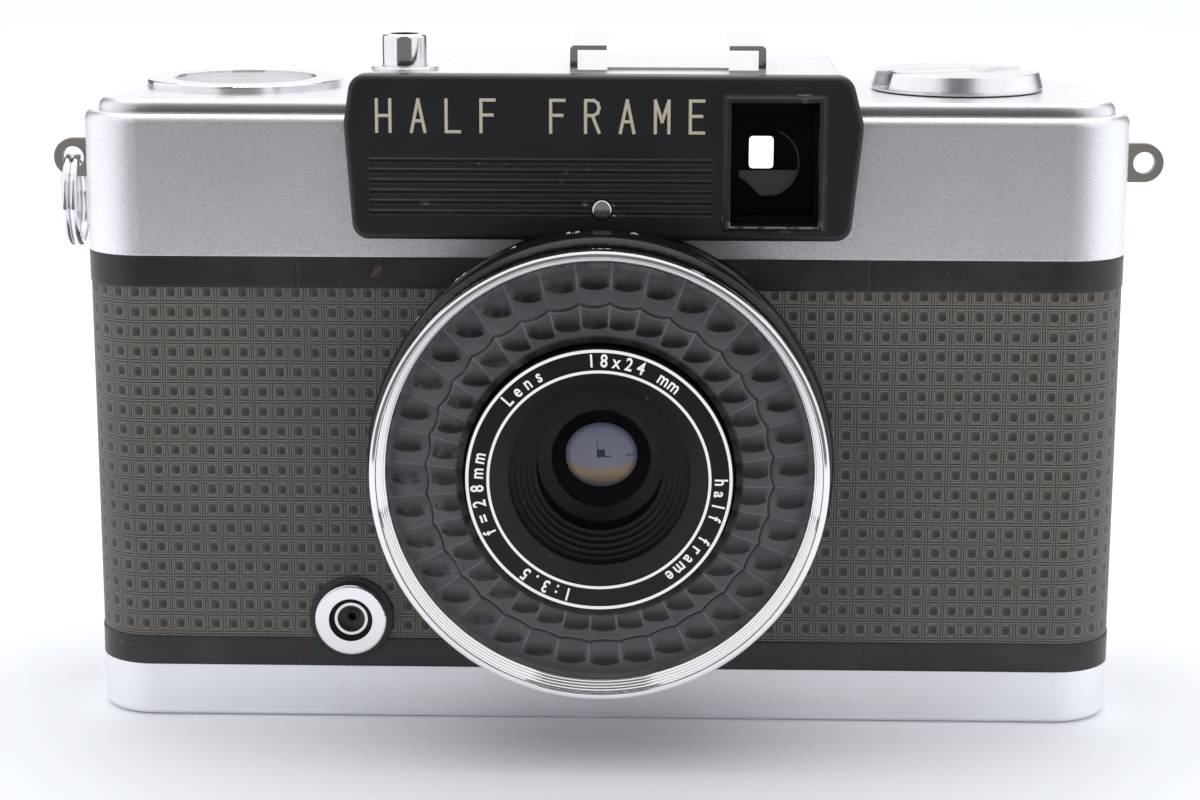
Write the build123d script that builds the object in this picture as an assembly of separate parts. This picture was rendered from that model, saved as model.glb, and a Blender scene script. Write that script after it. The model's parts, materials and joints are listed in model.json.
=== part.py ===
from build123d import *

import math
import os

# A half frame 35 mm viewfinder camera with a hinged back, in millimetres.
# +Z is up, the lens looks along -Y, and X runs along the width.
# The origin is the mouth of the tripod socket, in the middle of the base.

# ------------------------------------------------------------------ driving dimensions
BODY_W = 108.0
BODY_D = 31.0
CORNER_R = 6.3
FRONT = -BODY_D / 2
BACK = BODY_D / 2
SIDE = BODY_W / 2

# heights above the base
BASE_TOP = 5.75
SKIN_LOW = 8.85
SKIN_HIGH = 46.35
COVER_LOW = 49.6
LEDGE_Z = 64.1
STEP_Z = 65.4
HOUSING_Z = 68.0
FASCIA_Z = 68.45

COVER_WALL = 0.8
STEP_INSET = 1.5
SKIN_RECESS = 0.6
SKIN_INSET = 0.1
DECK_LOW_TOP = 7.2
DECK_HIGH_LOW = 48.2

# lens and meter ring
LENS_Z = 30.5
FLANGE_R = 22.3
BEZEL_R = 22.6
FILTER_R = 21.2
APERTURE_RING_R = 23.3
NAME_RING_R = 13.15
NAME_RING_HOLE_R = 10.6
BEZEL_FRONT = FRONT - 17.0
LENSLETS = 36

# shutter plates
HOUSING_CAVITY_R = 17.4
CLEAR_R = 4.4
BLADE_ARM = 11.5
BLADE_POST_R = 0.8
RUN = 0.05

# film transport
FILM_PLANE = 10.5
TAKE_UP = (-40.6, 1.0)
SPROCKET = (-19.0, 4.4)
THUMBWHEEL = (-29.2, 4.8)
GEAR_MODULE = 0.4
CASSETTE = (37.3, 1.25)
CASSETTE_R = 12.9
TAKE_UP_R = 10.8
SPROCKET_BAY_R = 6.7
SHAFT_R = 1.5
GEAR_LOW = 49.9
GEAR_TOP = 50.8
WHEEL_R = 12.0
WHEEL_LOW = 51.2
WHEEL_TOP = 54.2

# hinged back
SPLIT_Y = 9.0
HINGE = (-53.6, 9.4)
KNUCKLE_R = 1.3
HINGE_RELIEF_R = 1.5
HINGE_PIN_R = 0.6
DOOR_LOW = 5.9
DOOR_HIGH = 49.45
DOOR_WALL = 1.3
DOOR_KNUCKLE = (14.2, 40.8)
BODY_KNUCKLES = ((8.0, 14.0), (41.0, 46.3))
GUIDE_X = 6.0
GUIDES_Z = (21.5, 39.5)
GUIDE_R = 0.8

# front plate and sync socket
PLATE_LEFT = -31.5
PLATE_RIGHT = 27.3
PLATE_T = 1.5
SYNC = (-26.45, 11.15)
SYNC_BOSS_R = 4.4

# top of the camera
BUTTON = (-20.9, -7.0)
BUTTON_R = 2.33
BUTTON_TOP = 71.75
COUNTER = (-39.1, 2.9)
COUNTER_R = 10.5
KNOB_BASE_R = 9.1
KNOB_TOP_R = 8.67
KNOB_LOW = 65.55
KNOB_TOP = 67.45
CRANK_TURN = 200.0
CRANK_PIVOT = -3.0
CRANK_PIVOT_Z = 66.75
HANDLE_X = 6.2
SHOE_X = 6.46
SHOE_Y = (-9.5, 8.5)
SHOE_HALF = 9.3
SHOE_LIP_HALF = 6.3
SHOE_SLOT = 2.0

# viewfinder
WINDOW_X = (12.8, 21.7)
WINDOW_Z = (53.4, 65.9)
TUNNEL_X = (12.3, 22.2)
TUNNEL_Z = (53.0, 66.0)
TUNNEL_Y = (-15.4, 12.8)
EYEPIECE = (17.2, 60.0)
FASCIA_T = 2.5

# strap lugs and split ring
LUG_HOLE_X = SIDE + 2.8
LUG_Y = -3.0
LUG_Z = 58.2
LUG_END_R = 2.03
LUG_HOLE_R = 1.17
LUG_T = 1.1
RING_R = 4.6
RING_WIRE_R = 0.42
RING_TURN = 4.0

# base
SOCKET_R = 3.175
SOCKET_DEPTH = 5.0
BASE_FLOOR = 0.9
SCREW_SPOTS = ((-46.0, -8.0), (46.0, -8.0), (-46.0, 8.0), (46.0, 8.0))
SCREW_R = 0.8
SCREW_HEAD_R = 1.6


# ------------------------------------------------------------------ shape helpers
def block(x0, x1, y0, y1, z0, z1):
    """A box between two opposite corners."""
    middle = Pos((x0 + x1) / 2, (y0 + y1) / 2, (z0 + z1) / 2)
    return middle * Box(x1 - x0, y1 - y0, z1 - z0)


def rod_z(spot, radius, z0, z1):
    """An upright cylinder at a plan position."""
    return Pos(spot[0], spot[1], (z0 + z1) / 2) * Cylinder(radius, z1 - z0)


def rod_y(spot, radius, y0, y1):
    """A cylinder along Y at an (x, z) position."""
    return Pos(spot[0], (y0 + y1) / 2, spot[1]) * Rot(90, 0, 0) * Cylinder(radius, y1 - y0)


def rod_x(spot, radius, x0, x1):
    """A cylinder along X at a (y, z) position."""
    return Pos((x0 + x1) / 2, spot[0], spot[1]) * Rot(0, 90, 0) * Cylinder(radius, x1 - x0)


def slab(inset, z0, z1):
    """The body's plan outline, drawn in by an inset and given a height."""
    plan = RectangleRounded(BODY_W - 2 * inset, BODY_D - 2 * inset, CORNER_R - inset)
    return Pos(0, 0, z0) * extrude(plan, z1 - z0)


def front_of(y_limit):
    """Everything in front of a plane across Y."""
    return block(-SIDE - 2, SIDE + 2, FRONT - 2, y_limit, -1, HOUSING_Z + 5)


def lens_turn(points):
    """A solid of revolution about the lens axis, from (radius, y) points."""
    face = make_face(Polyline(*points, close=True))
    return Pos(0, 0, LENS_Z) * revolve(face, Axis.Y)


def upright_turn(spot, points):
    """A solid of revolution about an upright axis, from (radius, z) points."""
    ring = [(radius, 0, z) for radius, z in points]
    face = make_face(Polyline(*ring, close=True))
    return Pos(spot[0], spot[1], 0) * revolve(face, Axis.Z)


def lens_disc(radius, y_front, y_back, front_bulge, back_bulge):
    """A round lens element about Y through the origin; a bulge is how far a face domes out."""
    lens = rod_y((0, 0), radius, y_front - 2 * front_bulge - 1, y_back + 2 * back_bulge + 1)
    for edge_y, bulge, sign in ((y_front, front_bulge, -1), (y_back, back_bulge, 1)):
        ball_r = (radius**2 + bulge**2) / (2 * bulge)
        lens = lens & Pos(0, edge_y + sign * (bulge - ball_r), 0) * Sphere(ball_r)
    return lens


def gear_wheel(teeth, z0, z1, turn_deg):
    """A spur gear with straight-sided teeth about Z, one tooth centred at turn_deg."""
    pitch_r = GEAR_MODULE * teeth / 2
    root_r = pitch_r - 1.2 * GEAR_MODULE
    tip_r = pitch_r + 0.75 * GEAR_MODULE
    step = 360.0 / teeth
    corners = []
    for index in range(teeth):
        middle = turn_deg + index * step
        for radius, share in ((root_r, -0.27), (tip_r, -0.1), (tip_r, 0.1), (root_r, 0.27)):
            angle = math.radians(middle + share * step)
            corners.append((radius * math.cos(angle), radius * math.sin(angle)))
    return Pos(0, 0, z0) * extrude(make_face(Polyline(*corners, close=True)), z1 - z0)


def bearing(spot_a, spot_b):
    """The direction from one plan position to another, in degrees."""
    return math.degrees(math.atan2(spot_b[1] - spot_a[1], spot_b[0] - spot_a[0]))


# ------------------------------------------------------------------ gear layout
WHEEL_TEETH = 28
SPROCKET_TEETH = 23
TAKE_UP_TEETH = 32
WHEEL_PHASE = bearing(THUMBWHEEL, TAKE_UP)
TAKE_UP_PHASE = WHEEL_PHASE + 180 + 180.0 / TAKE_UP_TEETH


def sprocket_phase():
    """The turn that puts a gap of the sprocket's gear opposite a tooth of the wheel's gear."""
    towards = bearing(THUMBWHEEL, SPROCKET)
    step = 360.0 / WHEEL_TEETH
    offset = (WHEEL_PHASE - towards + step / 2) % step - step / 2
    return towards + 180 - offset * WHEEL_TEETH / SPROCKET_TEETH + 180.0 / SPROCKET_TEETH


# ------------------------------------------------------------------ base
def make_bottom_plate():
    shell = slab(0, 0, BASE_TOP)
    shell = fillet(shell.edges().group_by(Axis.Z)[0], 1.0)
    shell -= slab(COVER_WALL, BASE_FLOOR, BASE_TOP + 1)
    for spot in SCREW_SPOTS:
        shell += rod_z(spot, 2.4, BASE_FLOOR - 0.1, BASE_TOP)
        shell -= rod_z(spot, SCREW_R, 0, BASE_TOP)
        shell -= rod_z(spot, SCREW_HEAD_R, -1, 1.1)
    shell -= rod_z((0, 0), 4.95, -1, 2)
    shell -= rod_z(SPROCKET, 2.7, -1, 2)
    return shell


def make_tripod_bush():
    bush = rod_z((0, 0), 4.95, 0, BASE_TOP - 0.05) + rod_z((0, 0), 7.0, BASE_FLOOR, 1.9)
    return bush - rod_z((0, 0), SOCKET_R, -1, SOCKET_DEPTH)


def make_base_screws():
    screws = []
    for spot in SCREW_SPOTS:
        screw = rod_z(spot, SCREW_HEAD_R, 0.25, 1.1) + rod_z(spot, SCREW_R, 1.0, BASE_TOP + 1.2)
        screws.append(screw - block(spot[0] - 2, spot[0] + 2, spot[1] - 0.2, spot[1] + 0.2, 0, 0.65))
    return Compound(children=screws)


def make_rewind_release_button():
    button = rod_z(SPROCKET, 2.6, 0.3, 3.2)
    button = fillet(button.edges().group_by(Axis.Z)[0], 0.3)
    return button + rod_z(SPROCKET, 3.4, 1.1, 1.8)


# ------------------------------------------------------------------ body
def skin_band(inset):
    """The space round the body above the lower band and below the upper one, outside an inset."""
    return slab(-1, SKIN_LOW, SKIN_HIGH) - slab(inset, SKIN_LOW, SKIN_HIGH)


def bay(spot, radius):
    """A round chamber that opens to the back."""
    chamber = rod_z(spot, radius, DECK_LOW_TOP, DECK_HIGH_LOW)
    return chamber + block(
        spot[0] - radius, spot[0] + radius, spot[1], BACK, DECK_LOW_TOP, DECK_HIGH_LOW
    )


def light_box():
    """The tapering chamber from the shutter to the 18 x 24 mm film gate."""
    toward_back = Vector(0, 1, 0)
    mouth = Plane((0, FRONT + PLATE_T - 0.2, LENS_Z), x_dir=(1, 0, 0), z_dir=toward_back)
    rear = Plane((0, FILM_PLANE - 1.2, LENS_Z), x_dir=(1, 0, 0), z_dir=toward_back)
    taper = loft([mouth * Rectangle(15, 15), rear * Rectangle(19, 25)])
    gate = block(-9, 9, FILM_PLANE - 1.4, FILM_PLANE + 1, LENS_Z - 12, LENS_Z + 12)
    return taper + gate


def make_body_casting():
    body = slab(0, BASE_TOP, COVER_LOW) & front_of(SPLIT_Y)
    body -= skin_band(SKIN_RECESS)
    for low, high in ((BASE_TOP + 0.2, DECK_LOW_TOP), (DECK_HIGH_LOW, COVER_LOW - 0.2)):
        body += slab(DOOR_WALL + 0.25, low, high)
    body -= block(PLATE_LEFT, PLATE_RIGHT, FRONT - 1, FRONT + PLATE_T, BASE_TOP - 1, COVER_LOW + 1)
    rail_x0 = SPROCKET[0] + SPROCKET_BAY_R
    rail_x1 = CASSETTE[0] - CASSETTE_R
    body += block(rail_x0, rail_x1, SPLIT_Y - 1, FILM_PLANE, 11.0, 49.4)
    body -= block(rail_x0 - 1, rail_x1 + 1, FILM_PLANE - 0.25, FILM_PLANE + 1, LENS_Z - 17.6, LENS_Z + 17.6)
    body -= bay(CASSETTE, CASSETTE_R) + bay(TAKE_UP, TAKE_UP_R) + bay(SPROCKET, SPROCKET_BAY_R)
    body -= light_box()
    for spot in (TAKE_UP, SPROCKET):
        body -= rod_z(spot, SHAFT_R + RUN, BASE_TOP - 1, COVER_LOW + 1)
    body -= rod_z(CASSETTE, 2.1, DECK_HIGH_LOW - 1, COVER_LOW + 1)
    body += rod_z(THUMBWHEEL, SHAFT_R, COVER_LOW - 0.5, WHEEL_TOP + 0.2)
    body -= rod_z(HINGE, HINGE_RELIEF_R, BASE_TOP - 1, COVER_LOW + 1)
    for low, high in BODY_KNUCKLES:
        body += rod_z(HINGE, KNUCKLE_R, low, high)
        body += block(-SIDE + SKIN_RECESS, -SIDE + 2.0, SPLIT_Y - 2.4, HINGE[1], low, high)
        body -= rod_z(HINGE, HINGE_PIN_R, low - 1, high + 1)
    for spot in SCREW_SPOTS:
        body -= rod_z(spot, SCREW_R, BASE_TOP - 1, BASE_TOP + 1.2)
    body -= block(SIDE - 1.3, SIDE + 1, 1.8, SPLIT_Y + 1, 19.5, 38.5)
    body -= rod_y(SYNC, 3.0, FRONT, FRONT + 3.0)
    return body


def make_front_plate():
    plate = block(PLATE_LEFT, PLATE_RIGHT, FRONT, FRONT + PLATE_T, BASE_TOP, COVER_LOW)
    plate -= block(PLATE_LEFT - 1, PLATE_RIGHT + 1, FRONT - 1, FRONT + SKIN_RECESS, SKIN_LOW, SKIN_HIGH)
    plate += rod_y(SYNC, SYNC_BOSS_R, FRONT - 0.25, FRONT + PLATE_T)
    plate -= rod_y((0, LENS_Z), FLANGE_R + 0.05, FRONT - 2, FRONT + SKIN_RECESS)
    plate -= rod_y((0, LENS_Z), 18.6, FRONT - 2, FRONT + 3)
    plate -= rod_y(SYNC, 3.0, FRONT - 2, FRONT + 3)
    return plate


def make_front_covering(left):
    skin = slab(SKIN_INSET, SKIN_LOW, SKIN_HIGH) - slab(SKIN_RECESS, SKIN_LOW - 1, SKIN_HIGH + 1)
    skin = skin & front_of(SPLIT_Y - 0.1)
    skin -= rod_y((0, LENS_Z), FLANGE_R + 0.05, FRONT - 2, FRONT + 3)
    skin -= block(SIDE - 2, SIDE + 1, 1.8, SPLIT_Y + 1, 19.5, 38.5)
    if left:
        skin -= rod_y(SYNC, SYNC_BOSS_R, FRONT - 2, FRONT + 3)
        skin -= rod_z(HINGE, HINGE_RELIEF_R + 0.2, 0, COVER_LOW)
        return skin & block(-SIDE - 1, 0, FRONT - 1, BACK, 0, COVER_LOW)
    return skin & block(0, SIDE + 1, FRONT - 1, BACK, 0, COVER_LOW)


# ------------------------------------------------------------------ top cover
def housing_block(inset, z0, top):
    """The raised middle of the top cover."""
    half = 24.6 - inset
    return block(-half, half, FRONT + inset, BACK - STEP_INSET - inset, z0, top)


def make_top_cover():
    main = slab(0, COVER_LOW, LEDGE_Z)
    main = fillet(main.edges().group_by(Axis.Z)[-1], 0.9)
    step = slab(STEP_INSET, LEDGE_Z - 1, STEP_Z)
    step = fillet(step.edges().group_by(Axis.Z)[-1], 1.0)
    housing = housing_block(0, STEP_Z - 1, HOUSING_Z)
    housing = fillet(housing.edges().group_by(Axis.Z)[-1] + housing.edges().filter_by(Axis.Z), 0.9)
    cover = main + step + housing
    hollow = slab(COVER_WALL, COVER_LOW - 1, LEDGE_Z - COVER_WALL)
    hollow += slab(STEP_INSET + COVER_WALL, LEDGE_Z - 2, STEP_Z - COVER_WALL)
    hollow += housing_block(COVER_WALL + 0.3, STEP_Z - 2, HOUSING_Z - COVER_WALL)
    cover -= hollow
    cover -= block(*TUNNEL_X, FRONT - 1, FRONT + 2.6, *TUNNEL_Z)
    cover -= rod_y(EYEPIECE, 4.4, TUNNEL_Y[1], BACK + 1)
    cover -= rod_y((0, LENS_Z), FLANGE_R + 0.1, FRONT - 1, FRONT + COVER_WALL)
    cover -= rod_z(BUTTON, 2.9, HOUSING_Z - 2, HOUSING_Z + 1)
    cover -= rod_z(COUNTER, 8.6, STEP_Z - 2, STEP_Z + 1)
    cover -= rod_z(CASSETTE, 3.6, STEP_Z - 2, STEP_Z + 1)
    half_slot = 7.3
    wheel_x = THUMBWHEEL[0]
    cover -= block(wheel_x - half_slot, wheel_x + half_slot, BACK - 2, BACK + 1, WHEEL_LOW - 0.4, WHEEL_TOP + 0.4)
    for sign in (-1, 1):
        slot_x = sorted((sign * (SIDE - 2), sign * (SIDE + 1)))
        cover -= block(*slot_x, LUG_Y - LUG_T / 2, LUG_Y + LUG_T / 2, LUG_Z - LUG_END_R, LUG_Z + LUG_END_R)
    return cover


def make_strap_lug(sign):
    half = LUG_T / 2
    inner_x, outer_x = sorted((sign * (SIDE - 2.2), sign * LUG_HOLE_X))
    lug = block(inner_x, outer_x, LUG_Y - half, LUG_Y + half, LUG_Z - LUG_END_R, LUG_Z + LUG_END_R)
    lug += rod_y((sign * LUG_HOLE_X, LUG_Z), LUG_END_R, LUG_Y - half, LUG_Y + half)
    foot_x = sorted((sign * (SIDE - 1.8), sign * (SIDE - COVER_WALL)))
    lug += block(*foot_x, LUG_Y - 2.2, LUG_Y + 2.2, LUG_Z - 3.2, LUG_Z + 3.2)
    return lug - rod_y((sign * LUG_HOLE_X, LUG_Z), LUG_HOLE_R, LUG_Y - 1, LUG_Y + 1)


def make_split_ring():
    """Two turns of round wire, side by side, hanging from the left lug's hole."""
    turns = []
    for side in (-1, 1):
        turn = Pos(side * (RING_WIRE_R + 0.01), 0, 0) * Rot(0, 90, 0) * Torus(RING_R, RING_WIRE_R)
        turns.append(turn)
    joint = rod_x((0, -RING_R), RING_WIRE_R, -RING_WIRE_R, RING_WIRE_R)
    ring = Rot(0, 0, RING_TURN) * (turns[0] + turns[1] + joint)
    return Pos(-LUG_HOLE_X, LUG_Y, LUG_Z - RING_R) * ring


def make_accessory_shoe():
    outer = SHOE_HALF + 0.8
    base_top = HOUSING_Z + 0.3
    lip_low = base_top + SHOE_SLOT
    lip_top = lip_low + 0.5
    shoe = block(SHOE_X - outer, SHOE_X + outer, *SHOE_Y, HOUSING_Z, lip_top)
    tall_edges = shoe.edges().filter_by(Axis.Y).group_by(Axis.Z)[-1]
    shoe = fillet(tall_edges, 0.5)
    shoe -= block(SHOE_X - SHOE_HALF, SHOE_X + SHOE_HALF, SHOE_Y[0] - 1, SHOE_Y[1] + 1, base_top, lip_low)
    shoe -= block(SHOE_X - SHOE_LIP_HALF, SHOE_X + SHOE_LIP_HALF, SHOE_Y[0] - 1, SHOE_Y[1] + 1, base_top, 80)
    return shoe - block(SHOE_X - SHOE_LIP_HALF, SHOE_X + SHOE_LIP_HALF, SHOE_Y[0] - 1, SHOE_Y[0] + 3, 60, 80)


# ------------------------------------------------------------------ viewfinder
def make_fascia():
    outline = Polyline(
        (-25.45, FASCIA_Z), (-26.2, 63.5), (-25.35, 51.8), (25.0, 51.8), (26.2, 63.5), (24.9, FASCIA_Z),
        close=True,
    )
    plate = Pos(0, FRONT, 0) * extrude(Plane.XZ * make_face(outline), FASCIA_T)
    plate = fillet(plate.edges().filter_by(Axis.Y), 1.7)
    plate = fillet(plate.faces().sort_by(Axis.Y)[0].edges(), 0.6)
    skin = FRONT - FASCIA_T + 1.0
    plate -= block(-23.4, WINDOW_X[0] - 1.2, skin, FRONT + 1, 54.0, 67.2)
    rim = 0.7
    frame = block(
        WINDOW_X[0] - rim, WINDOW_X[1] + rim, FRONT - FASCIA_T - 0.5, FRONT,
        WINDOW_Z[0] - 0.5, WINDOW_Z[1] + rim,
    )
    plate += chamfer(frame.edges().group_by(Axis.Y)[0], 0.35)
    plate -= block(*WINDOW_X, FRONT - 5, FRONT + 1, *WINDOW_Z)
    for index in range(6):
        groove_z = 54.6 + 1.05 * index
        plate -= block(-23.6, 11.1, FRONT - FASCIA_T - 1, FRONT - FASCIA_T + 0.25, groove_z - 0.17, groove_z + 0.17)
    plate -= rod_y((0, LENS_Z), FLANGE_R + 0.1, FRONT - 5, FRONT + 1)
    return plate - rod_y((-0.1, 55.0), 1.15, FRONT - 5, skin)


def make_index_pin():
    pin = rod_y((-0.1, 55.0), 1.0, FRONT - FASCIA_T - 0.35, FRONT - FASCIA_T + 1.0)
    return fillet(pin.edges().group_by(Axis.Y)[0], 0.22)


def make_viewfinder_window():
    return block(*WINDOW_X, FRONT - 1.3, FRONT - 0.4, *WINDOW_Z)


def make_viewfinder_tunnel():
    wall = 0.8
    tunnel = block(*TUNNEL_X, *TUNNEL_Y, *TUNNEL_Z)
    tunnel -= block(
        TUNNEL_X[0] + wall, TUNNEL_X[1] - wall, TUNNEL_Y[0] - 1, TUNNEL_Y[1] + 1,
        TUNNEL_Z[0] + wall, TUNNEL_Z[1] - wall,
    )
    return tunnel - rod_x((2.0, 54.15), 0.35, TUNNEL_X[0] - 1, TUNNEL_X[1] + 1)


def make_viewfinder_objective():
    """The concave front lens of the reversed Galilean finder."""
    lens = block(TUNNEL_X[0] + 0.8, TUNNEL_X[1] - 0.8, -13.4, -11.2, TUNNEL_Z[0] + 0.8, TUNNEL_Z[1] - 0.8)
    middle_x = sum(TUNNEL_X) / 2
    middle_z = sum(TUNNEL_Z) / 2
    hollow_r = 26.0
    return lens - Pos(middle_x, -11.9 + hollow_r, middle_z) * Sphere(hollow_r)


def make_eyepiece_frame():
    frame = rod_y(EYEPIECE, 4.4, TUNNEL_Y[1], BACK) + rod_y(EYEPIECE, 5.2, BACK, BACK + 1.1)
    frame = fillet(frame.edges().group_by(Axis.Y)[-1], 0.35)
    return frame - rod_y(EYEPIECE, 3.3, TUNNEL_Y[1] - 1, BACK + 2)


def make_eyepiece_lens():
    return Pos(EYEPIECE[0], 0, EYEPIECE[1]) * lens_disc(3.3, 14.4, 15.4, 0.2, 0.5)


def make_low_light_flag():
    flag = block(13.7, 20.8, 2.0, 7.0, 54.02, 54.28)
    return flag + rod_x((2.0, 54.15), 0.3, TUNNEL_X[0] + 0.1, TUNNEL_X[1] - 0.1)


# ------------------------------------------------------------------ release, counter and meter movement
def make_button_collar():
    collar = rod_z(BUTTON, 3.5, HOUSING_Z, HOUSING_Z + 0.45) + rod_z(BUTTON, 2.9, HOUSING_Z - 0.8, HOUSING_Z)
    collar = fillet(collar.edges().group_by(Axis.Z)[-1], 0.2)
    return collar - rod_z(BUTTON, BUTTON_R + 0.08, 60, 80)


def make_shutter_button():
    button = rod_z(BUTTON, BUTTON_R, 65.8, BUTTON_TOP)
    button = fillet(button.edges().group_by(Axis.Z)[-1], 0.35)
    return button - rod_z(BUTTON, 1.5, BUTTON_TOP - 3.2, BUTTON_TOP + 1)


def make_release_rod():
    return rod_z(BUTTON, 1.1, 52.6, 65.8) + rod_z(BUTTON, 2.1, 60.0, 60.8)


def make_button_spring():
    return rod_z(BUTTON, 2.0, COVER_LOW, 60.0) - rod_z(BUTTON, 1.35, COVER_LOW - 1, 61)


def make_counter_bezel():
    bezel = rod_z(COUNTER, COUNTER_R, STEP_Z, STEP_Z + 0.85)
    bezel = fillet(bezel.edges().group_by(Axis.Z)[-1], 0.2)
    bezel -= rod_z(COUNTER, 7.6, STEP_Z + 0.2, STEP_Z + 2)
    return bezel - rod_z(COUNTER, 7.0, STEP_Z - 1, STEP_Z + 2)


def make_counter_window():
    return rod_z(COUNTER, 7.6, STEP_Z + 0.2, STEP_Z + 0.7)


def make_counter_bridge():
    x0 = COUNTER[0] - 11.4
    x1 = COUNTER[0] + 11.4
    y0 = COUNTER[1] - 2.5
    y1 = COUNTER[1] + 2.5
    bridge = block(x0, x1, y0, y1, 61.0, 61.8)
    bridge += block(x0, x0 + 0.8, y0, y1, 61.0, STEP_Z - COVER_WALL)
    bridge += block(x1 - 0.8, x1, y0, y1, 61.0, STEP_Z - COVER_WALL)
    return bridge + rod_z(COUNTER, 1.0, 61.0, 65.1)


def make_counter_dial():
    dial = rod_z(COUNTER, 8.3, 64.4, 64.9) + rod_z(COUNTER, 2.4, 62.2, 64.9)
    return dial - rod_z(COUNTER, 1.0 + RUN, 60, 70)


def make_galvanometer():
    case = rod_z((-5, -5), 5.5, COVER_LOW, 59.5)
    case = fillet(case.edges().group_by(Axis.Z)[-1], 0.5)
    return case + rod_z((-5, -5), 0.5, 59.0, 60.9)


def make_meter_needle():
    needle = rod_z((-5, -5), 1.1, 59.9, 60.5) + block(-5.3, -4.7, -5, 4.5, 60.1, 60.3)
    return needle - rod_z((-5, -5), 0.5 + RUN, 59, 62)


# ------------------------------------------------------------------ film transport
def make_advance_thumbwheel():
    wheel = rod_z(THUMBWHEEL, WHEEL_R, WHEEL_LOW, WHEEL_TOP)
    wheel = fillet(wheel.edges().group_by(Axis.Z)[-1] + wheel.edges().group_by(Axis.Z)[0], 0.4)
    wheel += rod_z(THUMBWHEEL, 3.2, GEAR_LOW, WHEEL_LOW + 0.1)
    wheel += Pos(*THUMBWHEEL, 0) * gear_wheel(WHEEL_TEETH, GEAR_LOW, GEAR_TOP, WHEEL_PHASE)
    return wheel - rod_z(THUMBWHEEL, SHAFT_R + RUN, 40, 60)


def make_take_up_spool():
    spool = rod_z(TAKE_UP, SHAFT_R, BASE_TOP + 0.2, GEAR_TOP) + rod_z(TAKE_UP, 6.2, 7.7, 47.6)
    for flange_z in (7.7, 46.8):
        spool += rod_z(TAKE_UP, 10.2, flange_z, flange_z + 0.8)
    for turn in range(6):
        slot = Rot(0, 0, 60 * turn) * block(5.0, 7.0, -0.6, 0.6, 12, 43)
        spool -= Pos(*TAKE_UP, 0) * slot
    return spool + Pos(*TAKE_UP, 0) * gear_wheel(TAKE_UP_TEETH, GEAR_LOW, GEAR_TOP, TAKE_UP_PHASE)


def make_film_sprocket():
    drum = rod_z(SPROCKET, SHAFT_R, BASE_TOP + 0.2, GEAR_TOP) + rod_z(SPROCKET, 5.4, 12.6, 48.0)
    for row in (-14.09, 14.09):
        for tooth in range(8):
            peg = Rot(0, 0, 45 * tooth) * block(5.0, 6.3, -0.75, 0.75, LENS_Z + row - 1.0, LENS_Z + row + 1.0)
            drum += Pos(*SPROCKET, 0) * peg
    gear = gear_wheel(SPROCKET_TEETH, GEAR_LOW, GEAR_TOP, sprocket_phase())
    return drum + Pos(*SPROCKET, 0) * gear


def at_knob(shape):
    """Turns a crank shape, drawn with its handle towards +X, to where it folds on the knob."""
    return Pos(*CASSETTE, 0) * Rot(0, 0, CRANK_TURN) * shape


def make_rewind_knob():
    profile = [(0, KNOB_LOW), (KNOB_BASE_R, KNOB_LOW), (KNOB_BASE_R, KNOB_LOW + 0.35), (KNOB_TOP_R, KNOB_TOP), (0, KNOB_TOP)]
    knob = upright_turn((0, 0), profile) + rod_z((0, 0), 3.3, 62.0, KNOB_LOW + 0.1)
    knob -= block(-10, 10, -2.0, 2.0, 66.3, 70)
    knob -= block(3.9, 10, -2.0, 2.0, 65.75, 70)
    knob -= rod_y((CRANK_PIVOT, CRANK_PIVOT_Z), 1.5, -2.0, 2.0)
    knob += rod_y((CRANK_PIVOT, CRANK_PIVOT_Z), 0.5, -3.0, 3.0)
    return at_knob(knob - rod_z((0, 0), 2.0, 61, 65.6))


def make_rewind_crank():
    arm = block(CRANK_PIVOT, 7.3, -1.6, 1.6, 66.9, 67.45)
    arm = fillet(arm.edges().filter_by(Axis.Z).group_by(Axis.X)[-1], 1.3)
    arm += rod_y((CRANK_PIVOT, CRANK_PIVOT_Z), 1.05, -1.7, 1.7)
    arm += rod_z((HANDLE_X, 0), 0.5, 66.0, 67.0)
    return at_knob(arm - rod_y((CRANK_PIVOT, CRANK_PIVOT_Z), 0.5 + RUN, -3, 3))


def make_crank_handle():
    handle = rod_z((HANDLE_X, 0), 1.35, 65.85, 66.83)
    return at_knob(handle - rod_z((HANDLE_X, 0), 0.5 + RUN, 60, 70))


def make_rewind_shaft():
    shaft = rod_z(CASSETTE, 2.0, 43.8, 65.6)
    return shaft - block(CASSETTE[0] - 3, CASSETTE[0] + 3, CASSETTE[1] - 0.6, CASSETTE[1] + 0.6, 43, 46.6)


def make_rewind_collar():
    collar = rod_z(CASSETTE, 3.6, 54.0, 56.4)
    return collar - rod_z(CASSETTE, 2.0 + RUN, 50, 60)


# ------------------------------------------------------------------ hinged back
def make_back_door():
    behind = block(-SIDE - 1, SIDE + 1, SPLIT_Y + 0.15, BACK + 1, 0, COVER_LOW)
    door = (slab(0, DOOR_LOW, DOOR_HIGH) - slab(DOOR_WALL, 0, COVER_LOW)) & behind
    door -= skin_band(SKIN_RECESS)
    door -= rod_z(HINGE, HINGE_RELIEF_R, 0, COVER_LOW)
    low, high = DOOR_KNUCKLE
    door += rod_z(HINGE, KNUCKLE_R, low, high)
    door += block(-SIDE + 0.1, -SIDE + DOOR_WALL, HINGE[1], HINGE[1] + 2.4, low, high)
    door -= rod_z(HINGE, HINGE_PIN_R + RUN, 0, COVER_LOW)
    for guide_z in GUIDES_Z:
        guide = rod_y((GUIDE_X, guide_z), 2.0, 12.7, BACK - DOOR_WALL + 0.2)
        door += guide - rod_y((GUIDE_X, guide_z), GUIDE_R + RUN, 12, BACK - DOOR_WALL)
    return door


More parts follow.
